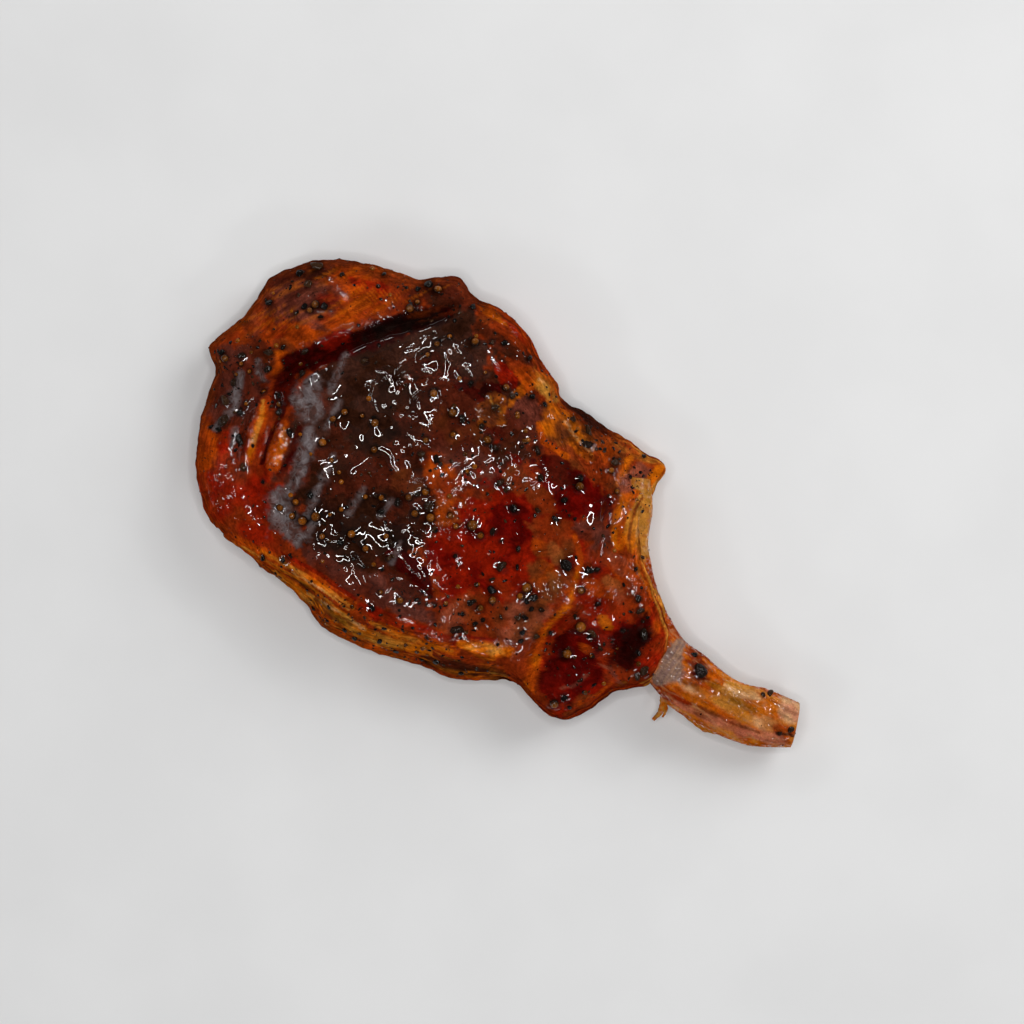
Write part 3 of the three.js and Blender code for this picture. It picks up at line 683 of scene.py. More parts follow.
def as_seen(points):
    """Where the camera sees each point, on the level plane of the view's middle."""
    lean = VIEW_DISTANCE * math.tan(math.radians(VIEW_TILT))
    eye = np.array(in_picture(lean / math.sqrt(2), lean / math.sqrt(2), VIEW_MIDDLE[2] + VIEW_DISTANCE)) / MM
    share = VIEW_DISTANCE / (eye[2] - points[:, 2])
    return eye[0] + (points[:, 0] - eye[0]) * share, eye[1] + (points[:, 1] - eye[1]) * share


# Colours, as they look in even light: red, green and blue from 0 to 255

INKS = {
    "black": (20, 12, 9), "pit": (28, 4, 3), "wine": (58, 4, 3), "blood": (90, 7, 3), "red": (120, 20, 4),
    "brown": (40, 18, 9), "maroon": (72, 25, 13), "dusk": (58, 32, 24), "plum": (88, 42, 32),
    "umber": (92, 42, 15), "rust": (116, 37, 9), "orange": (150, 56, 5), "amber": (172, 84, 6),
    "straw": (170, 114, 42), "olive": (112, 68, 10), "tan": (160, 98, 46), "salmon": (132, 64, 42),
    "pink": (168, 98, 78), "bone": (198, 152, 108), "lilac": (112, 88, 80),
}


def ink(name):
    display = np.array(INKS[name]) / 255
    return np.where(display <= 0.04045, display / 12.92, ((display + 0.055) / 1.055) ** 2.4)


# Patches of colour in the order they are laid: (ink, ink it is mottled with, middle, reach, turn, strength)
PATCHES = [
    # the dark eye
    ("brown", "maroon", (-14, 2), (34, 45), -4, 1), ("brown", "black", (-20, 12), (10, 14), 0, 0.7),
    ("brown", "dusk", (-35, 16), (13, 20), 35, 1), ("maroon", "brown", (4, 26), (22, 20), -12, 0.9),
    ("maroon", "brown", (-7, 12), (9, 15), 0, 0.55), ("dusk", "brown", (-15, 42), (14, 6.5), -6, 0.95),
    ("brown", "black", (-25, 55), (11, 7), 20, 1), ("wine", "pit", (-1, 32), (7, 2), 5, 0.8),
    ("wine", "maroon", (8, 23), (6, 3), 30, 0.6), ("brown", "maroon", (-6, -30), (22, 14), -6, 0.9),
    # the middle of the eye and its thin places
    ("maroon", "umber", (2, 15), (13, 9), -10, 0.9), ("rust", "maroon", (17, 4), (14, 9), -10, 0.9),
    ("plum", "maroon", (4, 11), (7, 3.5), -10, 0.6), ("rust", "orange", (4, 3), (8, 4.5), -15, 0.95),
    ("orange", "umber", (13, -4.5), (5.5, 5.5), 0, 0.9), ("orange", "tan", (1, 6), (3.4, 2), 20, 0.6),
    ("umber", "maroon", (-4, -3), (5, 4), 0, 0.8), ("maroon", "plum", (15, 13), (7, 5), 0, 0.85),
    # the red part of the eye
    ("red", "blood", (36, -3), (21, 26), -5, 1), ("red", "blood", (26, -14), (15, 11), 10, 1),
    ("blood", "wine", (32, 4), (8, 6), 0, 1), ("wine", "blood", (42, 23), (15, 7.5), -6, 1),
    ("wine", "maroon", (34, 26), (7, 4), 0, 0.8), ("umber", "rust", (25, 16), (4.5, 3.6), -20, 0.9),
    ("rust", "umber", (34, 15), (6, 3.8), -15, 0.85), ("rust", "umber", (45, 7), (8, 6.5), -25, 0.95),
    ("orange", "umber", (43, 2), (3.6, 2.4), 0, 0.6), ("umber", "tan", (48, 3), (4.4, 2.4), -40, 0.35),
    ("umber", "orange", (50, -6), (7, 5), -30, 0.95), ("tan", "umber", (51, -5), (2.6, 1.4), -50, 0.3),
    ("tan", "umber", (54, -3), (3.4, 5), -30, 0.35), ("umber", "salmon", (50, -20), (8, 10), -25, 0.95),
    ("rust", "umber", (39, -25), (8, 6.5), 20, 0.85),
    ("orange", "salmon", (31.5, -31), (3.4, 8.5), -8, 0.8), ("red", "rust", (41, -14), (6, 5), 0, 0.8),
    ("maroon", "plum", (53, 16), (4.5, 4.5), 0, 0.9), ("plum", "maroon", (60, 12), (4, 7), 20, 0.9),
    # the lower part of the eye
    ("black", "brown", (4, -18), (6, 8), 0, 0.7), ("wine", "pit", (12, -27), (11, 4), -20, 0.95),
    ("plum", "maroon", (11, -37), (15, 5), 6, 1), ("maroon", "plum", (-10, -41), (12, 3.6), -8, 0.9),
    ("brown", "black", (-16, -28), (11, 9), 0, 0.8), ("maroon", "brown", (13, -32.5), (10, 3), -8, 0.8),
    # under the painted milky sheen
    ("dusk", "maroon", (-41, -3), (6, 12), 15, 1), ("maroon", "dusk", (-38, -22), (6, 11), 0, 0.95),
    ("dusk", "maroon", (-31, -34), (10, 4.5), -25, 0.9),
    # the cap muscle
    ("rust", "orange", (-60, 27), (27, 15), 45, 1), ("maroon", "umber", (-67, 29), (11, 8), 25, 0.95),
    ("maroon", "black", (-66, 39), (8, 4.5), 35, 0.9), ("red", "rust", (-48, 42), (9, 4), 10, 0.85),
    ("orange", "rust", (-54, 46), (10, 3.5), 22, 0.9), ("orange", "rust", (-50, 34), (5.5, 7.5), -10, 0.9),
    ("rust", "orange", (-57, 37), (4.5, 3.6), 20, 0.8), ("red", "wine", (-44, 44.5), (3, 1.1), -5, 1),
    ("orange", "rust", (-60, 17), (9, 3.6), 42, 1), ("rust", "orange", (-72, 14), (7, 10), 0, 0.9),
    ("umber", "maroon", (-61, 11), (4, 2.6), 0, 0.6), ("orange", "amber", (-60.5, 5.5), (6, 3.4), 50, 0.95),
    ("plum", "maroon", (-64.5, 26.5), (12, 7), 35, 0.9), ("plum", "rust", (-74, 13), (3.4, 6), 10, 0.55),
    ("red", "plum", (-58, 31), (4, 2.4), 30, 0.6), ("red", "rust", (-66, 14), (4, 2), 45, 0.5),
    ("rust", "maroon", (-38, 46), (6, 4.5), 30, 0.95), ("maroon", "brown", (-29, 54), (9, 5), 30, 1),
    ("maroon", "brown", (-67, 4), (6, 4.6), 0, 0.85), ("black", "pit", (-25, 46), (6.5, 3), 42, 0.85),
    # the left end
    ("maroon", "plum", (-69, -10), (12, 13), 20, 1), ("maroon", "black", (-62, -16), (5, 6), 0, 0.6),
    ("red", "rust", (-56, -36), (14, 19), -38, 1), ("salmon", "red", (-54, -34), (6, 8), -30, 0.5),
    ("orange", "rust", (-65, -30), (4, 9), 28, 0.9), ("red", "rust", (-52, -41), (10, 6), -32, 0.9),
    ("red", "rust", (-41, -38), (14, 5.5), -22, 0.7), ("rust", "red", (-38, -45), (14, 4.6), -8, 0.95),
    ("rust", "maroon", (-52, -29), (5, 5), 0, 0.7), ("wine", "pit", (-53.5, -1), (4, 7), 20, 0.9),
    # the flank
    ("rust", "umber", (-4, 54.5), (17, 4), -7, 1), ("orange", "amber", (-10, 56.5), (6, 1.2), -4, 0.7),
    ("amber", "orange", (-13, 57), (4, 1.8), -5, 0.9), ("red", "rust", (2, 56.5), (12, 2.6), -12, 0.85),
    ("brown", "maroon", (-3, 50), (14, 2.4), -4, 0.8), ("umber", "rust", (40, 37), (20, 7), -6, 1),
    ("amber", "umber", (33, 39), (9, 3.6), -30, 0.55), ("umber", "amber", (25, 37.5), (7, 4.6), -38, 0.9),
    ("straw", "amber", (16, 46.4), (6, 3.1), -12, 0.9), ("rust", "orange", (7, 46), (5, 2.8), 0, 0.8),
    ("red", "blood", (3, 42.3), (5, 2.4), -15, 0.95), ("pit", "wine", (2, 35), (3.5, 3), 20, 0.95),
    ("umber", "amber", (6, 30), (4.6, 5.2), 0, 0.8), ("amber", "orange", (11, 40), (2.2, 5.5), -12, 0.7),
    ("maroon", "plum", (15.5, 35.5), (4.8, 5.5), 0, 1), ("umber", "orange", (43, 40), (9, 3.2), -8, 0.7),
    ("amber", "orange", (51.5, 38), (1.3, 5.5), 8, 0.8), ("salmon", "plum", (56, 37), (3, 8), 0, 0.9),
    ("rust", "orange", (55, 45), (5, 2.4), 0, 0.8),
    # the tail muscle
    ("rust", "red", (72, 2), (15, 14), -35, 1), ("red", "rust", (76, -20), (14, 22), 20, 1),
    ("rust", "orange", (71, 10), (12, 5), -35, 0.9), ("salmon", "rust", (67, 11), (4.5, 2.6), -30, 0.6),
    ("tan", "salmon", (69, 4), (5, 2.6), -20, 0.35), ("orange", "rust", (66, 1), (5, 2.6), 10, 0.6),
    ("wine", "blood", (70, -20.5), (8, 9), 0, 1), ("pit", "wine", (69.5, -25.5), (3.6, 3), 0, 0.85),
    ("orange", "rust", (72.5, -17.5), (1.8, 1.4), 0, 0.8), ("blood", "red", (80, -28), (6, 8), 15, 0.95),
    ("red", "rust", (74, -35), (7, 4), -15, 0.8), ("wine", "pit", (84.5, -9), (6.6, 9.6), 5, 0.95),
    ("pit", "black", (85, -8.4), (4.2, 6.4), 5, 0.85),
    ("amber", "orange", (73.5, -7), (2.6, 1.5), -10, 0.9), ("orange", "rust", (90, 2), (4, 3), -30, 0.9),
    ("red", "rust", (91, -8), (3, 9), 5, 0.95), ("wine", "blood", (71.5, -31), (8.5, 6.5), 20, 0.95),
    ("rust", "maroon", (86, -20), (4, 4), 0, 0.8), ("wine", "blood", (76, -25), (6, 4), 30, 0.8),
    ("umber", "rust", (83, -31), (5, 3), 40, 0.8), ("orange", "umber", (67, -43), (5, 1.6), -15, 0.8),
]

# Lines of colour: (ink, ink it is mottled with, path with half widths, strength)
STROKES = [
    # the fold between the cap muscle and the eye
    ("brown", "dusk", [(-47, 7, 3), (-42, 15, 4), (-36.5, 22, 4), (-31, 29, 4), (-25.5, 36, 4),
        (-18, 44, 3.4), (-17, 51, 3)], 1),
    ("maroon", "brown", [(-28, 53, 4), (-22, 57, 4)], 0.95),
    ("wine", "pit", [(-57, 8, 3), (-52, 12, 4.4), (-47.5, 19, 4.4), (-42, 25, 3.6)], 1),
    ("blood", "red", [(-50, 19.5, 2.4), (-46.4, 24.6, 2.4)], 1),
    # dark pooled glaze, with painted shade: near black along the deep middle of the fold
    ("pit", "wine", [(-42, 26, 3.4), (-38.5, 30.5, 3.8), (-35, 35.5, 4), (-31, 41, 3.8), (-27, 45.4, 3),
        (-23, 49, 1.6)], 1),
    ("black", "pit", [(-40.4, 28.2, 1.8), (-35.6, 34.4, 2.9), (-30.6, 40.8, 3.1), (-25, 46, 2.4)], 0.92),
    ("red", "blood", [(-50, 20.5, 1.6), (-47, 24, 1.8)], 0.9),
    # the ridge and the island beside the eye
    ("orange", "rust", [(-57, -7, 1.2), (-54.5, -13, 1.9), (-53, -19, 2.1), (-50.8, -26, 1.3)], 1),
    ("amber", "straw", [(-57.5, -7, 0.5), (-55, -12, 0.9), (-53.8, -18, 1.1), (-51.6, -24, 0.7)], 1),
    ("wine", "maroon", [(-59.4, -7, 0.8), (-58, -13, 0.9), (-57, -19, 0.9), (-54, -25, 0.6)], 0.7),
    ("rust", "red", [(-52.6, -8, 1.1), (-50.8, -17, 1.2), (-48.8, -25, 1.1)], 0.8),
    ("orange", "rust", [(-48, -10, 2), (-45.6, -17, 3.2), (-43.6, -22.5, 2.4)], 0.95),
    ("amber", "orange", [(-47, -11, 0.8), (-44.6, -16, 1.6), (-43.4, -21, 1)], 0.8),
    ("wine", "pit", [(-50, -6, 0.7), (-49.4, -15, 0.8), (-47, -24, 0.8)], 0.95),
    ("wine", "maroon", [(-43, -8, 0.9), (-40.4, -16, 1), (-40, -24, 1)], 0.9),
    # the lip along the fat
    ("orange", "rust", [(-56, -48.5, 1.2), (-45, -50, 2), (-30, -49, 2.2), (-15, -47.5, 2.2),
        (-2, -48.5, 2.4), (8, -47.5, 1.8)], 0.95),
    ("orange", "red", [(-25, -45.5, 1.4), (-10, -44.8, 1.8), (2, -46, 1.4)], 0.8),
    ("red", "rust", [(5, -45.5, 1.6), (15, -43.6, 2), (26, -41.2, 2.2), (36, -39.2, 1.8)], 0.95),
    ("orange", "amber", [(14, -47.2, 1.4), (22, -45.4, 1.5), (30, -42.8, 1.6), (38, -40.8, 1.4)], 0.8),
    ("amber", "straw", [(-24, -51.5, 1.2), (-10, -52, 1.5), (0, -51.5, 1.5), (8, -52.5, 1.9),
        (16, -51, 1.8), (24, -48.2, 1.7), (31, -45.5, 1.3)], 0.9),
    ("straw", "bone", [(-12, -51.2, 0.3), (0, -50.6, 0.45), (10, -51, 0.4)], 0.8),
    ("straw", "bone", [(6, -53.4, 0.5), (15, -52, 0.5), (23, -49, 0.4)], 0.8),
    ("amber", "straw", [(-38, -50, 0.3), (-26, -49.4, 0.5), (-14, -49, 0.6), (-3, -49.8, 0.4)], 0.8),
    ("umber", "olive", [(-9, -51, 0.5), (-1, -52.8, 1.2), (5, -52, 0.8)], 0.9),
    ("amber", "straw", [(-32, -48, 0.4), (-20, -47, 0.7), (-8, -46.6, 0.8), (3, -47.2, 0.5)], 0.75),
    ("blood", "red", [(-26, -44.8, 0.5), (-12, -43.8, 0.8), (2, -44.4, 0.6)], 0.8),
    ("straw", "bone", [(-20, -48.2, 0.25), (-8, -47.6, 0.35), (2, -48.4, 0.25)], 0.75),
    ("brown", "umber", [(-30, -49.4, 0.3), (-16, -49.8, 0.45), (-6, -49, 0.3)], 0.6),
    ("amber", "straw", [(10, -48, 0.5), (20, -46.4, 0.8), (30, -43.6, 0.7), (37, -41.4, 0.5)], 0.7),
    ("orange", "umber", [(-16, -54, 1), (-6, -55.6, 1.4), (6, -56.5, 1.4), (18, -54, 1.2)], 0.8),
    ("brown", "maroon", [(31, -48, 1.5), (38, -46.3, 2.6), (45, -43.5, 2), (52, -40, 1.8),
        (60, -38, 1.2)], 0.9),
    ("orange", "amber", [(38, -38, 1.3), (44, -35.5, 2.5), (50, -32.8, 2.4), (53, -31, 1.3)], 1),
    ("amber", "straw", [(40, -37.4, 0.9), (45, -35, 1.7), (50.6, -32.2, 1.5)], 1),
    ("blood", "red", [(37, -35.4, 0.5), (43, -32.8, 0.6), (49, -29.6, 0.5)], 0.8),
    # the seam beside the tail muscle
    ("orange", "rust", [(50, 11, 0.8), (55, 6.5, 1), (57.5, 1, 1.1), (58.8, -5, 1.5), (60, -10, 1.5),
        (58.6, -15, 1.2), (58.6, -21, 1.3), (60.5, -27, 1.8), (62, -33, 2.2), (65, -38.5, 2.4),
        (68.5, -42.5, 1.6)], 1),
    ("amber", "orange", [(57, 2, 0.4), (59, -4, 0.7), (60.4, -9, 0.8), (58.8, -15, 0.4),
        (58.8, -21, 0.5)], 0.9),
    ("red", "blood", [(61.4, -12, 0.6), (60.4, -18, 0.6), (61.4, -24, 0.7), (64.6, -31, 0.6)], 0.8),
    ("amber", "orange", [(61, -28, 1.1), (62.5, -34, 1.3), (66, -40, 1.2)], 0.8),
    # the side along the rib
    ("amber", "orange", [(60.8, 44, 1.4), (61, 36, 1.8), (58, 30, 2.4), (59, 24, 2.8),
        (63, 17, 2.4)], 0.95),
    ("straw", "amber", [(61.5, 33, 1.8), (62.6, 28, 3.6), (65, 23, 3.8), (67.5, 18.5, 2.2)], 0.95),
    ("orange", "amber", [(70, 18, 2), (76, 13.5, 2.2), (84, 9, 2.2), (92, 4, 2.2), (97, 0, 2)], 0.95),
    ("amber", "straw", [(72, 17.5, 0.8), (80, 12, 0.9), (88, 7, 0.9)], 0.7),
    ("bone", "straw", [(62.6, 35, 0.4), (64, 29, 0.7), (66.6, 22, 0.5)], 0.8),
    ("umber", "rust", [(61.2, 36, 0.3), (61.6, 28, 0.5), (64.5, 20.5, 0.5), (69, 15, 0.4)], 0.85),
    ("orange", "rust", [(59.4, 33, 0.8), (59.8, 25, 0.9), (62.8, 17, 0.7)], 0.8),
    ("umber", "rust", [(66, 27, 0.4), (68.6, 20, 0.5), (74, 15.5, 0.4)], 0.8),
    ("umber", "olive", [(89, -20, 1), (87.5, -26, 1.6), (84.5, -32, 1.8), (80, -38.5, 1.4)], 0.8),
    ("rust", "orange", [(85.5, -22, 0.5), (84, -28, 0.7), (80.5, -33, 0.6)], 0.9),
    ("amber", "straw", [(86.4, -24, 0.35), (86.6, -27.6, 0.4)], 0.9),
    ("plum", "salmon", [(79, -19, 0.4), (83, -18.4, 0.6), (87, -20.4, 0.5), (92, -20.6, 0.3)], 0.8),
    ("plum", "salmon", [(77.6, -24, 0.25), (76.4, -29, 0.4), (72.5, -32.6, 0.3)], 0.7),
    ("amber", "straw", [(63.4, -37.5, 0.8), (65, -40.6, 1)], 0.9),
    ("straw", "amber", [(68.6, -41, 0.5), (69.6, -43.4, 0.7)], 0.95),
    ("orange", "amber", [(72, -42.6, 0.9), (76, -41.6, 0.7)], 0.9),
    ("orange", "amber", [(20.5, 35, 0.8), (25, 31, 1.1), (34, 31, 0.9)], 0.8),
    # wrinkles of pale membrane by the flank
    ("straw", "amber", [(3, 33.6, 0.3), (5, 32, 0.4), (6.4, 33, 0.3), (8.6, 31.4, 0.4)], 0.6),
    ("maroon", "umber", [(4, 30.4, 0.5), (6.6, 29, 0.6), (8, 26.6, 0.4)], 0.6),
    ("amber", "straw", [(24, 43, 0.5), (31, 40, 0.7), (38, 37.6, 0.5)], 0.7),
    ("brown", "umber", [(22, 41, 0.4), (30, 37.6, 0.6), (37, 35, 0.4)], 0.6),
    ("straw", "bone", [(27, 40.4, 0.25), (33, 37.8, 0.35), (40, 36, 0.25)], 0.6),
    ("straw", "bone", [(13, 47, 0.4), (17, 46.4, 0.6), (21.6, 44.4, 0.4)], 0.7),
]

# Painted sheen on the dark glaze, a milky reflection of the film: (path with half widths, strength)
PAINTED_SHEEN = [
    ([(-47.5, 7, 2.4), (-46, 1, 4.6), (-42, -1, 3)], 1),
    ([(-43, 20, 0.9), (-42, 12, 1.3), (-41, 8, 1.5)], 0.8),
    ([(-40, -7, 1.6), (-37, -13, 2.2), (-35, -20, 1.8), (-34.5, -28, 1.6)], 0.95),
    ([(-37, -31, 2.4), (-31, -35, 3.6), (-24.5, -38, 3)], 0.95), ([(-27.5, -19, 1), (-26, -30, 1.6)], 0.8),
    ([(-29, -9, 0.9), (-28, -18, 1.1)], 0.6), ([(-23, -33, 1.6), (-22, -30, 1)], 0.7),
    ([(-66, 3, 0.9), (-64, 0, 1.1), (-61, -1.5, 0.8)], 0.9),
    ([(-68, -4, 1.2), (-66, -10, 1.8), (-64, -14, 1.6), (-65.5, -23, 1.2)], 0.75),
    ([(-15, -13, 1), (-14.6, -22, 1.6)], 0.6), ([(-5.4, -11, 1), (-6, -18, 1.1)], 0.5),
    ([(4, -21, 1), (5.5, -28, 1.1)], 0.5), ([(-60, -20, 1.2), (-58, -25, 0.8)], 0.6),
    ([(-37, 6, 0.9), (-36, -3, 1.1)], 0.6),
]


# The clouds of a second ink, which patches and strokes take in turn
CLOUD_SIZES = (10, 6.5, 4.5)
CLOUD_STRENGTHS = (0.7, 0.9)
CLOUD_SEED = 60


class Coat:
    """Colours laid over one another on the vertices of a mesh."""

    def __init__(self, points, base):
        self.colour = np.repeat(ink(base)[None], len(points), axis=0)
        self.clouds = [
            smoothstep(-0.3, 0.45, noise(points, size, CLOUD_SEED + k)) for k, size in enumerate(CLOUD_SIZES)
        ]

    def lay(self, name, mask):
        self.colour += (ink(name) - self.colour) * np.clip(mask, 0, 1)[:, None]

    def lay_mottled(self, name, second, mask, turn):
        """Lays a first ink, with clouds of a second one in it."""
        cloud = self.clouds[turn % len(CLOUD_SIZES)][:, None] * CLOUD_STRENGTHS[turn % 2]
        mixed = ink(name) * (1 - cloud) + ink(second) * cloud
        self.colour += (mixed - self.colour) * np.clip(mask, 0, 1)[:, None]

    def lay_all(self, patches, strokes, x, y, ragged, patch_rim, stroke_rim):
        """Lays two tables of colour; each rim says where a mask starts and where it is full."""
        for turn, (name, second, at, reach, tilt, strength) in enumerate(patches):
            mask = smoothstep(*patch_rim, oval_distance(at, reach, tilt, x, y) * ragged)
            self.lay_mottled(name, second, strength * mask, turn)
        for turn, (name, second, path, strength) in enumerate(strokes):
            mask = smoothstep(*stroke_rim, path_distance(path, x, y) * ragged)
            self.lay_mottled(name, second, strength * mask, turn)


FIBRE_SEAM = 100  # the angle where the fibres' coordinates start and end

# Where the meat shows fibres that run along its outline: (middle, reach, turn, strength)
FIBRES = [
    ((-62, 28), (26, 13), 50, 0.8), ((-60, -32), (10, 24), 25, 0.7), ((30, 40), (34, 9), -10, 1),
    ((-4, 54), (20, 4), -6, 0.8), ((76, 9), (14, 5), -35, 0.8), ((92, -4), (4, 12), 10, 0.8),
    ((74, -38), (12, 4), 20, 0.6), ((-12, -47.4), (28, 4), 0, 0.9), ((22, -44.4), (20, 3.6), 14, 0.9),
    ((46, -34.6), (10, 3), 27, 1), ((62, -32), (4, 12), 18, 0.8), ((7, 29), (6, 7), 0, 0.6),
]


def fibres(points, normals):
    """Coordinates along and across the fibres, and how fibrous each point is from 0 to 1."""
    x, y, z = points.T
    angle, radius = polar(x, y)
    way = np.stack([np.radians(np.mod(angle - FIBRE_SEAM, 360)) * WALL_REACH, z, radius], axis=1)
    u, v = as_seen(points)
    share = np.maximum(smoothstep(0.85, 0.55, normals[:, 2]), smoothstep(-3, 0, depth_in_fat(x, y)))
    for at, reach, turn, strength in FIBRES:
        share = np.maximum(share, strength * smoothstep(1.2, 0.7, oval_distance(at, reach, turn, u, v)))
    share = share * (1 - bell((angle - FIBRE_SEAM) / 2.5)) * (normals[:, 2] > -0.6)
    return way, share * smoothstep(4, 8, path_distance(CAP_SEAM, x, y))


# Tints of the walls: (ink, strength, angles where it starts, is full, fades and ends)
WALL_SHADES = [
    ("umber", 0.6, 90, 130, 190, 215), ("maroon", 0.8, 100, 106, 116, 124),
    ("maroon", 0.6, 134, 142, 160, 170),
]
UNDER_FLANK = (44, 50, 60, 68)
BESIDE_TAIL = (325, 332, 352, 358)


def paint_cap(coat, points, u, v):
    """The fibres of the cap muscle."""
    cap = in_cap(points[:, 0], points[:, 1]) * smoothstep(3.5, 7, path_distance(CAP_SEAM, u, v))
    threads = noise(turned(points, 62), (15, 1.2, 6), 15)
    coat.lay("amber", 0.34 * cap * smoothstep(0.1, 0.45, threads))
    coat.lay("maroon", 0.45 * cap * smoothstep(-0.1, -0.45, threads))


def steepness(points, normals):
    """1 on the walls, 0 on the top and the underside."""
    angle, radius = polar(points[:, 0], points[:, 1])
    rim, shoulder = around(OUTLINE, 1, angle), around(EDGE, 1, angle)
    outside = smoothstep(rim - 1.15 * shoulder, rim - 0.75 * shoulder, radius)
    return outside * smoothstep(0.8, 0.4, normals[:, 2]) * (normals[:, 2] > -0.5)


def paint_walls(coat, points, steep):
    """Strands of thin glaze and flesh down the walls."""
    x, y, z = points.T
    angle, _ = polar(x, y)
    strands = wall_strands(points, 16, 1.5, 5)
    bare = steep * (depth_in_fat(x, y) < 0)
    coat.lay("rust", 0.6 * bare)
    coat.lay("blood", 0.7 * bare * sector(angle, *BESIDE_TAIL))
    coat.lay("orange", 0.6 * bare * smoothstep(0.05, 0.35, strands))
    coat.lay("maroon", 0.7 * bare * smoothstep(-0.05, -0.4, strands))
    for name, strength, *angles in WALL_SHADES:
        coat.lay(name, strength * steep * sector(angle, *angles))
    coat.lay("black", 0.9 * steep * sector(angle, *UNDER_FLANK) * smoothstep(17, 12, z))
    along_rib = smoothstep(48, 40, angle) + (angle > 350)
    coat.lay("straw", 0.8 * steep * along_rib * smoothstep(-0.25, 0.2, strands))


def paint_fat_side(coat, points, steep):
    """Strands over brown on the fat's side, darker at the foot."""
    x, y, z = points.T
    on_fat = smoothstep(0.2, 1.4, depth_in_fat(x, y) + 0.6 * noise(points, 2, 14))
    side = on_fat * steep
    coat.lay("amber", 0.8 * side * smoothstep(0.05, 0.35, wall_strands(points, 22, 1.1, 21)))
    coat.lay("olive", 0.35 * side * smoothstep(0.05, 0.35, noise(points, 8, 22)))
    coat.lay("brown", 0.75 * side * smoothstep(-0.15, -0.4, wall_strands(points, 16, 1.5, 5)))
    coat.lay("straw", 0.6 * side * smoothstep(0.22, 0.45, wall_strands(points, 18, 0.8, 24)))
    coat.lay("umber", 0.6 * on_fat * smoothstep(6, 2, z))


def painted_glaze_shade(points, grains):
    """Painted shade and light: darker in the hollows and round the grains, where the glaze is also deeper;
    lighter on rises.
    """
    x, y, z = points.T
    shade = 1 + noises(points, (0.34, 5.5, 1), (0.14, 2.4, 2), (0.08, 1.2, 18))
    for gx, gy, size in grains:
        near = np.hypot(x - gx, y - gy)
        shade *= 1 - 0.55 * (z > 10) * bell((near - size) / (0.55 * size))
    return shade


def paint(points, normals, grains):
    """Colour of each vertex of the meat and the fat, and how much painted milky sheen, the film's
    reflection, lies on it.
    """
    u, v = as_seen(points)
    ragged = 1 + noises(points, (0.26, 7, 11), (0.3, 2.8, 12), (0.16, 1.3, 19))
    coat = Coat(points, "rust")
    coat.lay_all(PATCHES, STROKES, u, v, ragged, (1.15, 0.86), (1.2, 0.75))
    paint_cap(coat, points, u, v)
    steep = steepness(points, normals)
    paint_walls(coat, points, steep)
    paint_fat_side(coat, points, steep)
    # the underside is plain roast, because its faces are too long to hold a pattern
    under = smoothstep(-0.5, -0.9, normals[:, 2])
    coat.lay("rust", under)
    coat.lay("umber", 0.45 * under)
    # painted reflection: the film's milky sheen along its paths, on the top only, with a grey plum under it
    painted_sheen = np.zeros(len(points))
    for path, strength in PAINTED_SHEEN:
        mask = smoothstep(1.5, 0.2, path_distance(path, u, v) * ragged**1.6)
        painted_sheen = np.maximum(painted_sheen, strength * mask)
    painted_sheen *= normals[:, 2] > 0.5
    coat.lay("dusk", 0.85 * smoothstep(0.1, 0.5, painted_sheen))
    # painted shade in the hollows and round the grains, and painted light on the rises
    shade = painted_glaze_shade(points, grains)
    shade += under * (1 - shade)
    return coat.colour * np.clip(shade, 0.2, 2)[:, None], painted_sheen


# Glints: where the wet film over the glaze is thick and puckered, as (middle, reach, turn, strength)
GLINT_FIELDS = [
    ((-16, 36), (12, 7.5), 0, 1.5), ((-24, 29), (5, 6.5), 20, 1.4), ((-26, 17), (5, 8), 20, 2),
    ((-15, 15), (8, 11), 10, 1.15), ((-3, 16), (7, 6), 0, 0.4), ((11, 12), (9, 7), 10, 1),
    ((24, 19), (8, 7), 0, 1.6), ((36, 22), (7, 6), -20, 0.5), ((52, 20), (5, 4), -20, 0.6),
    ((60, 12), (4, 7), 20, 0.8), ((-20, 0), (13, 9), 0, 0.75), ((3, -2), (8, 8), 0, 1.2),
    ((14, -5), (6, 6), 0, 1.5), ((-28, -10), (8, 9), 0, 0.6), ((10, -11), (10, 4), 0, 0.7),
    ((12, -22), (14, 5), -15, 1.3), ((-6, -26), (9, 7), 0, 0.7), ((-10, -36), (11, 6), -20, 1.3),
    ((12, -35), (14, 4.5), 10, 1.2), ((14, -41.5), (11, 1.6), 10, 0.6), ((28, -33), (3.4, 7), 0, 1.1),
    ((8, 31), (6, 4.5), -30, 0.7), ((21, 29), (4, 5.5), 0, 1.2), ((30, 34), (8, 3), -15, 0.3),
    ((-33, 5), (7, 10), 0, 0.5), ((-55, -30), (6, 7), 0, 0.8), ((-42, -39), (9, 2.6), -35, 0.3),
    ((-46, -16), (3, 7), 18, 0.9), ((-58, -14), (2.6, 5), 0, 0.9), ((-66, -8), (6, 8), 0, 0.25),
    ((28, 38), (9, 4), -25, 0.5), ((47, -20), (10, 4), -50, 0.3), ((52, -6), (7, 5), -30, 0.7),
    ((55.4, -28), (3.4, 6), 0, 0.9), ((46, -35), (8, 2.2), 20, 0.5), ((68, -8), (7, 8), 0, 0.8),
    ((76, -13), (4, 5), 0, 0.9), ((55, 24), (4, 6), 20, 1.6), ((86, 3), (4, 3), -30, 0.4),
]
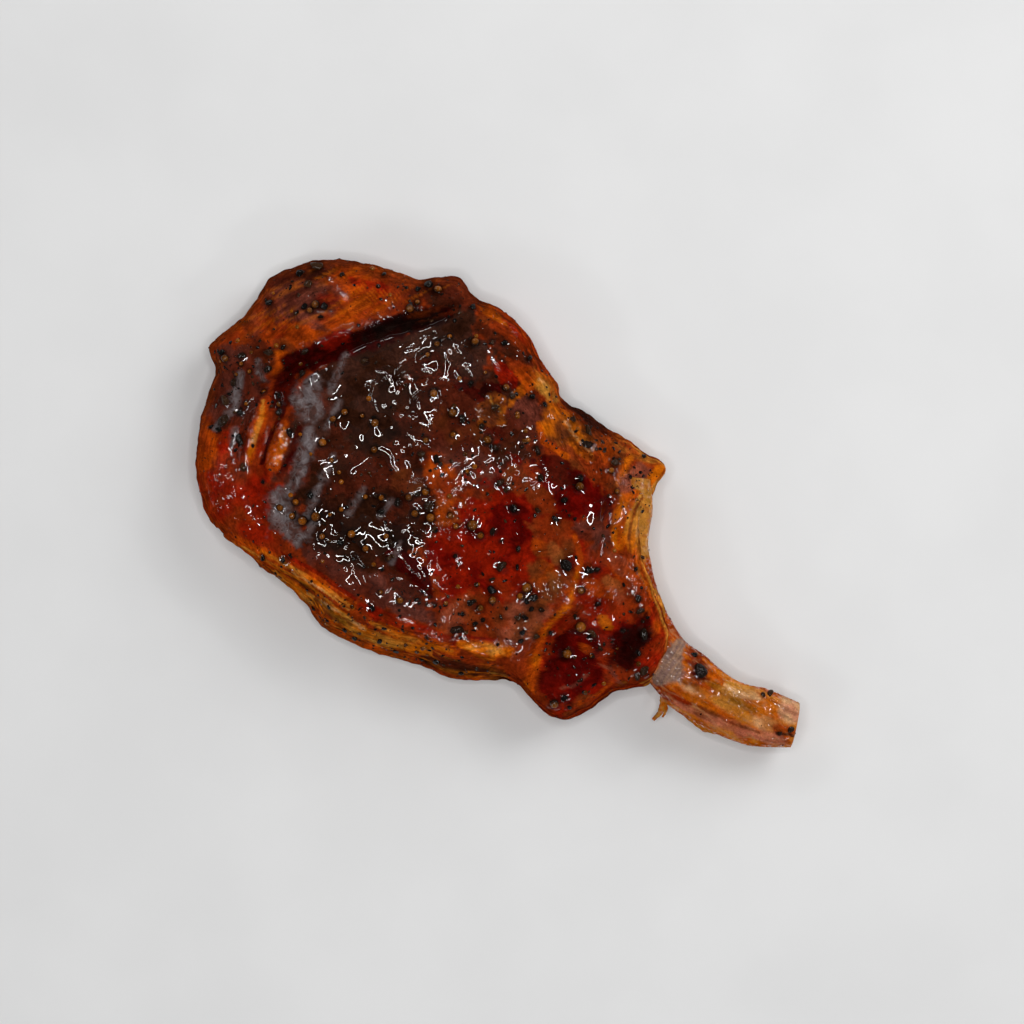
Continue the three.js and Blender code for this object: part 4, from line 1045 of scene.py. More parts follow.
# The same along lines: (path with half widths, how puckered, strength)
GLINT_LINES = [
    ([(-49, 3, 1), (-46.8, 12, 1.2)], 0.3, 1),
    ([(-40, 22.5, 2.6), (-37, 28, 2.8), (-32.5, 33.8, 2.8), (-25, 42.5, 2), (-23, 46, 1)], 0, 1),
    ([(-53, -3, 1), (-50, -12, 1), (-48, -22, 0.9)], 0.2, 0.7),
    ([(-8, 46.4, 0.5), (-4, 44.6, 0.6), (1, 42.6, 0.5)], 0.4, 1),
    ([(-46.5, -36, 0.6), (-42, -38.6, 1), (-37, -41, 0.6)], 0.4, 1),
    ([(36.5, -36.4, 0.7), (42, -33.8, 0.9), (48, -31.2, 0.9), (52, -28.6, 0.7)], 0.2, 1),
]


def glints(points, normals, grains):
    """How strongly the film puckers, how thick it is and how finely it is crinkled."""
    x, y, z = points.T
    u, v = as_seen(points)
    pucker = np.zeros(len(points))
    ragged = 1 + noises(points, (0.25, 6, 71), (0.2, 3, 72))
    for at, reach, turn, strength in GLINT_FIELDS:
        mask = smoothstep(1.2, 0.8, oval_distance(at, reach, turn, u, v) * ragged)
        pucker = np.maximum(pucker, strength * mask)
    film = smoothstep(0.5, 0.7, pucker * (0.95 + 0.9 * noise(points, 4.5, 73)))
    for path, puckered, strength in GLINT_LINES:
        mask = smoothstep(1.4, 0.9, path_distance(path, u, v) * ragged)
        pucker = pucker * (1 - mask) + puckered * mask
        film = np.maximum(film, strength * mask)
    folds = crinkle(x, y)
    film = np.maximum(film, 0.9 * smoothstep(0.3, 0.7, folds))
    patchy = (1 - in_cap(x, y)) * smoothstep(-0.1, 0.1, noise(points, 3, 74))
    for gx, gy, size in grains:
        near = np.hypot(x - gx, y - gy) / size
        film = np.maximum(film, (z > 10) * smoothstep(2, 1.6, near) * patchy)
    fringe = smoothstep(1.5, 1, path_distance(FRINGE, x, y) * ragged)
    folds = folds * (1 - fringe) + 1.5 * fringe
    pucker = (pucker * (1 - fringe) + 0.6 * fringe) * (normals[:, 2] > 0.4)
    film = np.maximum(film, fringe)
    return pucker, film * smoothstep(0.55, 0.8, normals[:, 2]), folds


# Materials

def node(tree, kind, inputs=None, **settings):
    """Adds a shader node, sets it up and links whatever is given as a socket."""
    made = tree.nodes.new("ShaderNode" + kind)
    for key, value in settings.items():
        setattr(made, key, value)
    for key, value in (inputs or {}).items():
        if isinstance(value, bpy.types.NodeSocket):
            tree.links.new(value, made.inputs[key])
        else:
            made.inputs[key].default_value = value
    return made


def new_material(name):
    material = bpy.data.materials.new(name)
    material.use_nodes = True
    tree = material.node_tree
    tree.nodes.clear()
    return material, tree


COAT_IOR = 1.7
REDDENING = (1.0, 0.25, 0.12)  # how far red, green and blue light go under the surface, as shares
LIGHT_DEPTH = 1.2


def attribute(tree, name, output="Fac"):
    """What store() left on the vertices under that name."""
    return node(tree, "Attribute", attribute_name=name).outputs[output]


def scaled(tree, place, factors):
    return node(tree, "VectorMath", {0: place, 1: factors}, operation="MULTIPLY").outputs[0]


def millimetres(tree):
    """Object coordinates in millimetres."""
    return scaled(tree, node(tree, "TexCoord").outputs["Object"], (1 / MM, 1 / MM, 1 / MM))


def ramp(tree, value, low, high, start=0.0, end=1.0):
    inputs = {"Value": value, "From Min": low, "From Max": high, "To Min": start, "To Max": end}
    return node(tree, "MapRange", inputs, interpolation_type="SMOOTHSTEP").outputs["Result"]


def math_node(tree, operation, first, second=0.0):
    return node(tree, "Math", {0: first, 1: second}, operation=operation).outputs[0]


def times(tree, first, second):
    return math_node(tree, "MULTIPLY", first, second)


def minus(tree, first, second):
    return math_node(tree, "SUBTRACT", first, second)


def speckle(tree, place, size, detail=2.0, distortion=0.0, roughness=0.5):
    """Cloudy noise from 0 to 1, with spots of that size."""
    inputs = {
        "Vector": place, "Scale": 1 / size,
        "Detail": detail, "Distortion": distortion, "Roughness": roughness,
    }
    return node(tree, "TexNoise", inputs).outputs["Fac"]


def creases(tree, place, size, detail, distortion):
    """0 along thin curled lines and more beside them."""
    return math_node(tree, "ABSOLUTE", minus(tree, speckle(tree, place, size, detail, distortion), 0.5))


def blend_colour(tree, factor, first, second, mode="MIX"):
    inputs = {0: factor, 6: first, 7: second}
    return node(tree, "Mix", inputs, data_type="RGBA", blend_type=mode).outputs[2]


def grey(tree, value):
    return node(tree, "CombineColor", {0: value, 1: value, 2: value}).outputs[0]


def toned(tree, colour, value, factor=1.0):
    """The colour made lighter or darker by a value."""
    return blend_colour(tree, factor, colour, grey(tree, value), "MULTIPLY")


def surface_shader(tree, colour, normal, coat, roughness, coat_roughness, subsurface=0.0):
    """Meat, bone or grain: matt in itself, and shiny only where the coat lies on it."""
    inputs = {
        "Base Color": colour, "Roughness": roughness, "Normal": normal, "Specular IOR Level": 0.0,
        "Coat Weight": coat, "Coat Roughness": coat_roughness, "Coat IOR": COAT_IOR,
        "Coat Normal": normal, "Subsurface Weight": subsurface, "Subsurface Radius": REDDENING,
        "Subsurface Scale": LIGHT_DEPTH * MM,
    }
    shader = node(tree, "BsdfPrincipled", inputs)
    node(tree, "OutputMaterial", {"Surface": shader.outputs[0]})


def bump(tree, height, distance, normal=None):
    inputs = {"Height": height, "Distance": distance * MM, "Strength": 1.0}
    if normal is not None:
        inputs["Normal"] = normal
    return node(tree, "Bump", inputs).outputs["Normal"]


SEED_SKIN = {"dark": (0.012, 0.004, 0.002), "pale": (0.25, 0.07, 0.005), "coat": 0.45, "grit": 0.015}
PEPPER_SKIN = {"dark": (0.005, 0.004, 0.0035), "pale": (0.04, 0.017, 0.007), "coat": 0.3, "grit": 0.08}
SPECK_COLOUR = (0.012, 0.005, 0.003, 1)
# the grey of the painted milky reflection
SHEEN_COLOUR = (0.2, 0.175, 0.18, 1)
GREASE_COLOUR = (0.4, 0.2, 0.085, 1)


def glaze_colour(tree, place, strands, fibrous):
    """The painted colour with fine mottling, streaks, dark specks and a painted milky sheen, the film's
    reflection.
    """
    broad = ramp(tree, speckle(tree, place, 3.0, 5.0, 1.2, 0.55), 0.3, 0.7, 0.72, 1.3)
    fine = ramp(tree, speckle(tree, place, 0.9, 3.0, 0.6), 0.34, 0.66, 0.84, 1.18)
    colour = toned(tree, attribute(tree, "tint", "Color"), times(tree, broad, fine))
    colour = toned(tree, colour, ramp(tree, strands, 0.34, 0.66, 0.7, 1.34), fibrous)
    specks = ramp(tree, speckle(tree, place, 0.9, 1.0), 0.7, 0.74, 0.0, 0.4)
    colour = blend_colour(tree, specks, colour, SPECK_COLOUR)
    # painted reflection: soft milky patches and veins where the sheen lies
    soft = ramp(tree, speckle(tree, place, 4.0, 4.0, 1.2, 0.5), 0.36, 0.66, 0.1, 0.7)
    veins = ramp(tree, creases(tree, place, 5.0, 2.0, 1.6), 0.07, 0.0, 0.0, 0.35)
    sheen_amount = times(tree, attribute(tree, "painted_sheen"), math_node(tree, "ADD", soft, veins))
    return blend_colour(tree, times(tree, sheen_amount, 0.8), colour, SHEEN_COLOUR)


def glaze_normal(tree, place, strands, fibrous, folds):
    """Puckers of two sizes, tiny folds and the fibres."""
    pucker = attribute(tree, "pucker")
    normal = None
    rows = ((7.0, 0.6, pucker, 1.7), (2.6, 0.5, pucker, 0.1), (2.1, 1.0, folds, 0.28))
    for size, distortion, share, distance in rows:
        height = minus(tree, speckle(tree, place, size, 0.0, distortion), 0.5)
        normal = bump(tree, times(tree, height, share), distance, normal)
    return bump(tree, times(tree, minus(tree, strands, 0.5), fibrous), 0.16, normal)


def glaze_film(tree, place, folds):
    """Where a wet film mirrors the lamps: curled lines over the folds, tiny drops elsewhere."""
    curls = ramp(tree, creases(tree, place, 2.2, 1.0, 1.4), 0.05, 0.075)
    parted = times(tree, ramp(tree, folds, 0.15, 0.4), curls)
    thick = ramp(tree, attribute(tree, "film"), 0.4, 0.6)
    film = times(tree, thick, minus(tree, 1.0, parted))
    # the walls have fewer drops
    enough = ramp(tree, attribute(tree, "level"), 0.0, 1.0, 0.84, 0.745)
    drops = ramp(tree, minus(tree, speckle(tree, place, 0.9, 0.0), enough), 0.0, 0.04)
    return math_node(tree, "MAXIMUM", film, drops)


def wet_glaze(name):
    """Meat or fat under a wet glaze."""
    material, tree = new_material(name)
    place = millimetres(tree)
    fibrous, folds = attribute(tree, "fibrous"), attribute(tree, "folds")
    along_fibres = scaled(tree, attribute(tree, "way", "Vector"), (0.13, 1, 1))
    strands = speckle(tree, along_fibres, 1.2, 2.0, 0.9, 0.6)
    colour = glaze_colour(tree, place, strands, fibrous)
    normal = glaze_normal(tree, place, strands, fibrous, folds)
    film = glaze_film(tree, place, folds)
    surface_shader(tree, colour, normal, film, roughness=0.5, coat_roughness=0.03)
    return material


def bone_skin(name):
    """The bare rib: greasy tan bone with strands along it."""
    material, tree = new_material(name)
    place = millimetres(tree)
    wet = attribute(tree, "wet")
    mottle = ramp(tree, speckle(tree, place, 1.0, 5.0, 1.0), 0.3, 0.7, 0.74, 1.28)
    colour = toned(tree, attribute(tree, "tint", "Color"), mottle)
    drawn_out = scaled(tree, place, (0.3, 1, 1))
    cloudy = ramp(tree, speckle(tree, drawn_out, 2.2, 5.0, 1.2, 0.6), 0.5, 0.72, 0.0, 0.5)
    colour = blend_colour(tree, times(tree, cloudy, wet), colour, GREASE_COLOUR)
    normal = bump(tree, speckle(tree, drawn_out, 1.6, 2.0, 0.6), 0.3)
    normal = bump(tree, speckle(tree, place, 2.6, 1.0, 0.5), 0.25, normal)
    drops = times(tree, wet, ramp(tree, speckle(tree, place, 1.0, 2.0), 0.52, 0.57))
    surface_shader(tree, colour, normal, drops, roughness=0.4, coat_roughness=0.04, subsurface=0.05)
    return material


def grain_skin(name, dark, pale, coat, grit):
    """A seed or a chip of pepper with its own shade between two colours; on pressed seeds, painted light on
    one side.
    """
    material, tree = new_material(name)
    place = millimetres(tree)
    mottle = ramp(tree, speckle(tree, place, 0.35, 3.0), 0.3, 0.7, 0.55, 1.35)
    colour = toned(tree, blend_colour(tree, attribute(tree, "shade"), (*dark, 1), (*pale, 1)), mottle)
    normal = bump(tree, speckle(tree, place, 0.3, 3.0), grit)
    surface_shader(tree, colour, normal, coat, roughness=0.45, coat_roughness=0.04)
    return material


def plain_floor(name):
    material, tree = new_material(name)
    value = ramp(tree, speckle(tree, millimetres(tree), 60.0, 3.0), 0.3, 0.7, 0.74, 0.77)
    shader = node(tree, "BsdfPrincipled", {"Base Color": grey(tree, value), "Roughness": 0.7})
    node(tree, "OutputMaterial", {"Surface": shader.outputs[0]})
    return material


# Pieces

def fat_cutter():
    """A band that holds the fat edge through the whole thickness."""
    first, last = FAT_EDGE[0][0], FAT_EDGE[-1][0]
    angle = np.linspace(first, last, FAT_STEPS + 1)
    inner = around(OUTLINE, 1, angle) - along(FAT_EDGE, 1, angle) - FAT_GAP
    outer = around(OUTLINE, 1, angle) + EYE_HEIGHT
    radius = np.concatenate([inner[::-1], outer])
    turn = np.radians(np.concatenate([angle[::-1], angle]))
    ring = np.stack([radius * np.cos(turn), radius * np.sin(turn)], axis=1)
    count = len(ring)
    low = np.hstack([ring, np.full((count, 1), -EYE_HEIGHT / 2)])
    high = np.hstack([ring, np.full((count, 1), 1.5 * EYE_HEIGHT)])
    faces = [(k, (k + 1) % count, count + (k + 1) % count, count + k) for k in range(count)]
    strip = [(k, count - 1 - k, count - 2 - k, k + 1) for k in range(FAT_STEPS)]
    faces += [tuple(f[::-1]) for f in strip] + [tuple(count + i for i in f) for f in strip]
    made = make_object("fat_cutter", np.vstack([low, high]), faces, smooth=False)
    fix_winding(made)
    return made


def fix_winding(target):
    mesh = bmesh.new()
    mesh.from_mesh(target.data)
    bmesh.ops.recalc_face_normals(mesh, faces=mesh.faces)
    mesh.to_mesh(target.data)
    mesh.free()


def superellipse(wave, squareness):
    return np.sign(wave) * np.abs(wave) ** (2 / squareness)


def tube(stations, steps, sides, squareness, shape):
    """Rings of points of a swept round-cornered tube, swollen by a function of place and turn."""
    rows = np.array([(k, *row) for k, row in enumerate(stations)], float)
    at = np.linspace(0, len(stations) - 1, steps + 1)
    middle = np.stack([along(rows, column, at) for column in (1, 2, 3)], axis=1)
    ahead = np.gradient(middle, axis=0)
    ahead /= np.linalg.norm(ahead, axis=1, keepdims=True)
    side = np.cross((0, 0, 1), ahead)
    side /= np.linalg.norm(side, axis=1, keepdims=True)
    over = np.cross(ahead, side)
    turn = 2 * np.pi * np.arange(sides) / sides
    swell = shape(*np.meshgrid(at / at[-1], turn, indexing="ij"))
    points = middle[:, None]
    for way, column, wave in ((side, 4, np.cos(turn)), (over, 5, np.sin(turn))):
        half = np.interp(at, rows[:, 0], rows[:, column])
        points = points + way[:, None] * (half[:, None] * superellipse(wave, squareness) * swell)[..., None]
    return points


def close_tube(points, end_rings):
    """All points of a tube with both ends closed by shrinking rings, and its faces."""
    sides = points.shape[1]
    middles = [points[k].mean(axis=0) for k in (0, -1)]
    first, last = (
        [middles[k] + (points[k] - middles[k]) * ring / end_rings for ring in range(1, end_rings)]
        for k in (0, -1)
    )
    rows = first + list(points) + last[::-1]
    everything = np.vstack(rows + [middle[None] for middle in middles])
    grid = np.arange(len(rows) * sides).reshape(len(rows), sides)
    a, b = grid[:-1], grid[1:]
    quads = np.stack([a, np.roll(a, -1, axis=1), np.roll(b, -1, axis=1), b], axis=-1).reshape(-1, 4)
    start = len(rows) * sides
    fans = [(start, int(i), int(j)) for i, j in zip(np.roll(grid[0], -1), grid[0])]
    fans += [(start + 1, int(i), int(j)) for i, j in zip(grid[-1], np.roll(grid[-1], -1))]
    return everything, quads.tolist() + fans


def tube_object(name, points, end_rings):
    made = make_object(name, *close_tube(points, end_rings))
    fix_winding(made)
    return made


def unrolled(share, turn, length, girth):
    """Points on a straight tube of that length and girth, to take noise at."""
    columns = (share * length, np.cos(turn) * girth, np.sin(turn) * girth)
    return np.stack([column.ravel() for column in columns], axis=1)


def rib_swell(share, turn):
    """Uneven girth of the rib: long ridges and knots."""
    places = unrolled(share, turn, 120, 7)
    lumps = noises(places, (0.045, (15, 4, 4), 31), (0.03, (9, 1.6, 1.6), 32), (0.012, 1.4, 33))
    return 1 + lumps.reshape(share.shape)


def build_rib():
    made = tube_object("rib", tube(RIB, RIB_STEPS, RIB_SIDES, RIB_SQUARENESS, rib_swell), END_RINGS)
    made.data.set_sharp_from_angle(angle=math.radians(RIB_CREASE))
    return made


# Patches and lines of colour on the rib, laid like those on the meat
RIB_PATCHES = [
    ("amber", "orange", (112, -4), (13, 5), -6, 1), ("olive", "amber", (118, -5.5), (9, 1.8), -3, 0.8),
    ("orange", "umber", (113, -7.5), (10, 1.6), -6, 0.9), ("umber", "rust", (108, -9.5), (7, 1.5), -8, 0.8),
    ("straw", "bone", (123, -1.5), (7, 2.6), 4, 0.9), ("amber", "orange", (131, -2.4), (6, 2.6), 12, 0.95),
    ("straw", "amber", (121, -8), (10, 2), 2, 0.8), ("olive", "umber", (126, -4.5), (6, 1), 8, 0.7),
    ("bone", "pink", (138, 2.5), (4.5, 4), -15, 0.95), ("bone", "tan", (134, -6), (5, 2.4), 12, 0.8),
    ("orange", "rust", (140, -5), (3.4, 2.2), 10, 0.95), ("amber", "orange", (104, 2), (9, 1.6), -6, 0.95),
    ("rust", "red", (105, -1.5), (6, 4), -35, 1), ("blood", "pit", (107, -3.5), (3.4, 2.6), -35, 0.95),
]
# The grey membrane round the rib where it leaves the meat
MEMBRANE = [(96.8, 0.6, 1.8), (97.4, -4.6, 3.6), (99.2, -8.2, 4.2), (97.4, -12.6, 2.6)]
RIB_STROKES = [
    ("red", "rust", [(97, -15.6, 1.6), (103, -15, 2), (110, -13.5, 1.4)], 0.9),
    ("orange", "amber", [(104, -12, 1.4), (114, -11.4, 1.6), (124, -10.6, 1.2)], 0.85),
    ("pink", "salmon", [(106, -16.2, 0.8), (116, -14.6, 1.4), (128, -12.2, 2), (141, -8, 1.8)], 0.7),
    ("umber", "rust", [(112, -13.2, 0.5), (124, -11.8, 0.6), (134, -9.4, 0.4)], 0.8),
    ("pit", "brown", [(138.5, -6.4, 0.5), (143.5, -4.4, 0.5)], 0.9),
    ("orange", "rust", [(72, 16, 5), (81, 10, 5), (90, 4, 5), (93, 0, 4)], 0.95),
    ("straw", "tan", [(62, 38, 7), (65, 28, 7), (68, 20, 6)], 0.9),
    ("amber", "straw", [(106, 0.6, 0.5), (113, -0.6, 0.7), (121, 0.8, 0.5)], 0.8),
    ("bone", "straw", [(116, -2.6, 0.5), (122, -2.6, 0.9), (128, -0.4, 0.5)], 0.7),
    ("bone", "tan", [(104, -10.6, 0.6), (108, -10, 0.9), (113, -9.6, 0.5)], 0.6),
    ("lilac", "lilac", MEMBRANE, 0.95),
]


def paint_rib(made):
    """Stores the rib's colours, and how wet it is."""
    points, normals = points_of(made)
    (x, y), z = as_seen(points), points[:, 2]
    ragged = 1 + 0.3 * noise(turned(points, -4), (9, 3, 3), 11)
    ragged += 0.26 * noise(turned(points, 4), (5, 1.2, 1.2), 12) + 0.2 * noise(points, 1.1, 13)
    coat = Coat(points, "amber")
    strands = noise(turned(points, 4), (15, 1.4, 1.4), 43)
    coat.lay("orange", smoothstep(-0.1, 0.3, noise(points, 6, 42)) * 0.7)
    coat.lay("straw", smoothstep(0.05, 0.4, strands) * 0.5)
    coat.lay_all(RIB_PATCHES, RIB_STROKES, x, y, ragged, (1.35, 0.7), (1.3, 0.7))
    coat.lay("rust", 0.5 * smoothstep(0.1, 0.5, strands) * smoothstep(96, 92, x))
    # the membrane and the strands at its rim
    membrane = path_distance(MEMBRANE, x, y)
    threads = noise(points, (0.7, 6, 4), 48)
    coat.lay("bone", 0.24 * smoothstep(1.3, 0.5, membrane * ragged) * smoothstep(-0.35, 0.45, threads))
    rim = smoothstep(0.7, 1.1, membrane) * smoothstep(1.8, 1.4, membrane)
    coat.lay("amber", 0.7 * rim * smoothstep(0.0, 0.3, strands))
    coat.lay("umber", 0.35 * smoothstep(-0.1, -0.4, strands) * (x > 103))
    coat.lay("umber", smoothstep(6, 2, z) * 0.6)
    # the sawn end
    end = (normals[:, 0] > 0.75) * smoothstep(136, 139, x)
    coat.lay("bone", end * 0.8)
    coat.lay("pink", end * smoothstep(0.0, 0.4, noise(points, 4, 45)))
    coat.lay("orange", end * 0.8 * smoothstep(3.4, 1.6, np.hypot(y + 4, z - 9) * ragged))
    shade = 1 + 0.2 * strands + noises(points, (0.2, 3, 46), (0.12, 1.2, 47))
    store(made, "tint", coat.colour * np.clip(shade, 0.3, 2)[:, None])
    store(made, "wet", 0.5 + 0.5 * smoothstep(1, 1.5, membrane))


def strand(name, path, seed):
    """A limp strand of fat that tapers to a point."""
    def knots(share, turn):
        return 1 + 0.3 * noise(unrolled(share, turn, 14, 1), 1.3, seed).reshape(share.shape)

    rows = [(x, y, z, half, half) for x, y, z, half in path]
    made = tube_object(name, tube(rows, STRAND_STEPS, STRAND_SIDES, ROUND, knots), STRAND_END_RINGS)
    place, _ = points_of(made)
    mixed = smoothstep(-0.3, 0.3, noise(place, 1.5, seed + 1))[:, None]
    store(made, "tint", ink("amber") * (1 - mixed) + ink("straw") * mixed)
    store(made, "wet", np.full(len(place), STRAND_WET))
    return made


def dress(piece, node_name, material):
    """Gives a piece its material and its place in the model."""
    piece.data.materials.clear()
    piece.data.materials.append(material)
    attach(piece, "root")
    if node_name:
        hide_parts(node_name)


def from_above(x, y):
    """Start and direction of a ray that comes straight down."""
    return (x, y, RAY_HEIGHT), (0, 0, -1)


def from_side(angle, height):
    """Start and direction of a level ray towards the middle of the chop."""
    c, s = math.cos(angle), math.sin(angle)
    return (RAY_REACH * c, RAY_REACH * s, height), (-c, -s, 0)


def seat(scatter, surface, ray, shape, size, flat, stretch, spin, shade, sink=GRAIN_SINK):
    """Puts one grain where a ray meets the surface; sink is how far its middle stays above, as a share."""
    hit = surface.hit(*ray)
    if hit is None:
        return
    place, normal, _ = hit
    scale = np.array([size * stretch[0], size * stretch[1], size * flat])
    lifted = place + np.array(normal) * size * flat * sink
    scatter.add(shape, lifted, normal, scale, spin, shade)


RIM_MARGIN = 0.985  # loose grains keep just inside the outline


def loose_places(rng, count):
    """Places inside the outline, thickest where loose pepper gathers."""
    found = []
    while len(found) < count:
        angle = rng.uniform(0, 360)
        radius = around(OUTLINE, 1, angle)[0] * math.sqrt(rng.uniform(0, 1)) * RIM_MARGIN
        x, y = radius * math.cos(math.radians(angle)), radius * math.sin(math.radians(angle))
        if rng.uniform() < pepper_weight(x, y):
            found.append((x, y))
    return found


# Where loose pepper gathers: (middle, reach, turn, weight)
PEPPER_FIELDS = [
    ((-70, -2), (14, 20), 50, 0.9), ((-66, 30), (12, 6), 60, 0.5), ((30, -28), (32, 10), 18, 0.5),
    ((20, 14), (40, 28), 0, 0.28), ((78, -18), (16, 16), 0, 0.8), ((48, 36), (24, 8), -30, 0.7),
    ((-50, 12), (6, 22), -35, 0.7), ((-20, -12), (26, 34), 10, 0.25), ((-20, 50), (24, 8), 10, 0.4),
    ((20, -45), (40, 8), 12, 0.5),
]
PEPPER_ANYWHERE = 0.06


def pepper_weight(x, y):
    """How likely loose pepper is at a place, from 0 to 1."""
    return PEPPER_ANYWHERE + max(
        share * math.exp(-float(oval_distance(at, reach, turn, x, y)) ** 2)
        for at, reach, turn, share in PEPPER_FIELDS
    )


def build_slab(grains):
    """Meat and fat as one piece, with their fine forms."""
    points, quads, fan = slab()
    normals = vertex_normals(points, quads, fan)
    points = points + normals * fine_relief(points, normals, grains)[:, None]
    points[:, 2] = np.maximum(points[:, 2], 0)
    return make_object("chop_meat", points, quads.tolist() + fan.tolist())


def part_fat(meat):
    """Cuts the fat edge off the meat, as a piece of its own."""
    cutter = fat_cutter()
    fat = meat.copy()
    fat.name = "chop_fat"
    fat.data = meat.data.copy()
    bpy.context.scene.collection.objects.link(fat)
    carve(fat, cutter, "INTERSECT")
    carve(meat, cutter, "DIFFERENCE")
    bpy.data.objects.remove(cutter)
    return fat


def coat_piece(piece, grains):
    """Smooths a cut piece and stores what its glaze needs on its vertices."""
    keep_largest(piece)
    piece.data.shade_smooth()
    piece.data.set_sharp_from_angle(angle=math.radians(MEAT_CREASE))
    place, slope = points_of(piece)
    layers = dict(zip(("tint", "painted_sheen"), paint(place, slope, grains)))
    layers |= zip(("way", "fibrous"), fibres(place, slope))
    layers |= zip(("pucker", "film", "folds"), glints(place, slope, grains))
    layers["level"] = smoothstep(0.6, 0.95, slope[:, 2])
    for name, values in layers.items():
        store(piece, name, values)


def build_chop():
    """Meat, fat edge and rib, and the strands of fat on the rib."""
    grains = PEPPER + MUSTARD + SMALL_PEPPER + SMALL_MUSTARD
    meat = build_slab(grains)
    rib = build_rib()
    fat = part_fat(meat)
    carve(meat, rib, "DIFFERENCE")
    for piece in (meat, fat):
        coat_piece(piece, grains)
    glaze = wet_glaze("glaze")
    dress(meat, "loin_meat", glaze)
    dress(fat, "fat_edge", glaze)

    paint_rib(rib)
    bone = bone_skin("bone")
    dress(rib, "rib_bone", bone)
    for name, path, seed in STRANDS:
        dress(strand(name, path, seed), None, bone)
    return meat, fat, rib


class Grains:
    """Mustard seeds, cracked pepper and its dust, with the random draws that shape them."""

    def __init__(self):
        self.rng = np.random.default_rng(CHIP_SEED)
        self.stream = draws(GRAIN_SEED)
        self.seeds = Scatter("mustard_seeds", 3)
        self.pepper = Scatter("cracked_pepper", 2)
        self.dust = Scatter("pepper_dust", 1)

    def add_pepper(self, surface, places):
        for (x, y, size), (long, short, spin) in zip(places, spin_draws(self.stream, len(places))):
            shape = chip(self.pepper.ball, self.rng)
            shade = self.rng.uniform(0, 1) ** 3
            size, flat = PEPPER_SWELL * size, PEPPER_DEEP * PEPPER_FLAT
            seat(self.pepper, surface, from_above(x, y), shape, size, flat, (long, short), spin, shade)

    def add_mustard(self, surface, places):
        ball = self.seeds.ball
        for (x, y, size), (_, short, spin) in zip(places, spin_draws(self.stream, len(places))):
            lumps = noise(ball + 3 * len(self.seeds.points), 0.9, 61)
            lumpy = ball * (1 + SEED_LUMPS * lumps)[:, None]
            # painted light: each seed is pale on the side that faces one way and dark on the rest, at a
            # random strength
            tone_and_painted_light = self.rng.uniform(*SEED_LIGHT_RANGE) * smoothstep(0.1, 1.05, lumpy @ SEED_LIT_FROM)
            stretch = (1, 0.6 + 0.4 * short)
            seat(self.seeds, surface, from_above(x, y), lumpy, size, MUSTARD_FLAT, stretch, spin, tone_and_painted_light, 0)

    def add_edge_pepper(self, surface):
        """Pepper on the side of the fat edge."""
        def between(low, high, share):
            return low + (high - low) * share

        for k in range(EDGE_PEPPER["count"]):
            share = (k + 0.6 * next(self.stream)) / EDGE_PEPPER["count"]
            angle = math.radians(between(EDGE_PEPPER["from"], EDGE_PEPPER["to"], share))
            height = between(EDGE_PEPPER["low"], EDGE_PEPPER["high"], next(self.stream))
            size = between(*EDGE_PEPPER["radius"], next(self.stream))
            [(long, short, spin)] = spin_draws(self.stream, 1)
            shape = chip(self.pepper.ball, self.rng)
            ray = from_side(angle, height)
            seat(self.pepper, surface, ray, shape, size, PEPPER_FLAT, (long, short), spin, EDGE_SHADE)

    def strew(self, kind, surface, count, cuts, sizes, flat, longest, darkness):
        """Loose broken grains on the top."""
        rng = self.rng
        for x, y in loose_places(rng, count):
            shape = chip(kind.ball, rng, cuts)
            size = rng.uniform(*sizes)
            stretch = (rng.uniform(1, longest), rng.uniform(NARROWEST, 1))
            spin = rng.uniform(0, LOOSE_SPIN)
            shade = rng.uniform(0, 1) ** darkness
            seat(kind, surface, from_above(x, y), shape, size, flat, stretch, spin, shade, LOOSE_SINK)

    def strew_seeds(self, surface, count, sizes, flat):
        """Loose whole seeds on the top."""
        for x, y in loose_places(self.rng, count):
            size = self.rng.uniform(*sizes)
            tone_and_painted_light = self.rng.uniform(0, 1)
            ray, ball = from_above(x, y), self.seeds.ball
            seat(self.seeds, surface, ray, ball, size, flat, (1, 1), 0, tone_and_painted_light, SEED_SINK)

    def dust_walls(self, surface, count, heights, sizes, flat, stretch):
        """Fine pepper on the walls."""
        rng = self.rng
        for _ in range(count):
            ray = from_side(rng.uniform(0, 2 * math.pi), rng.uniform(*heights))
            shape = chip(self.dust.ball, rng, DUST_CUTS)
            size = rng.uniform(*sizes)
            spin = rng.uniform(0, LOOSE_SPIN)
            shade = rng.uniform(0, 1) ** 2
            seat(self.dust, surface, ray, shape, size, flat, stretch, spin, shade, LOOSE_SINK)


def build_grains(meat, fat, rib):
    grains, on_all = Grains(), Surface(meat, fat, rib)
    grains.add_pepper(Surface(meat), PEPPER)
    grains.add_mustard(Surface(meat), MUSTARD)
    grains.add_edge_pepper(Surface(fat))
    grains.add_pepper(Surface(rib), RIB_PEPPER)
    grains.add_pepper(on_all, SMALL_PEPPER)
    grains.add_mustard(on_all, SMALL_MUSTARD)
    grains.strew(grains.pepper, on_all, **FLAKES)
    grains.strew_seeds(on_all, **LOOSE_SEEDS)
    grains.strew(grains.dust, on_all, **TOP_DUST)
    grains.dust_walls(on_all, **WALL_DUST)

    brown_seed = grain_skin("seed", **SEED_SKIN)
    black = grain_skin("pepper", **PEPPER_SKIN)
    dress(grains.seeds.finish(True), None, brown_seed)
    dress(grains.pepper.finish(False), None, black)
    dress(grains.dust.finish(False), None, black)


# Floor, light and camera

FLOOR_HALF = 1500
WORLD_STRENGTH = 0.03

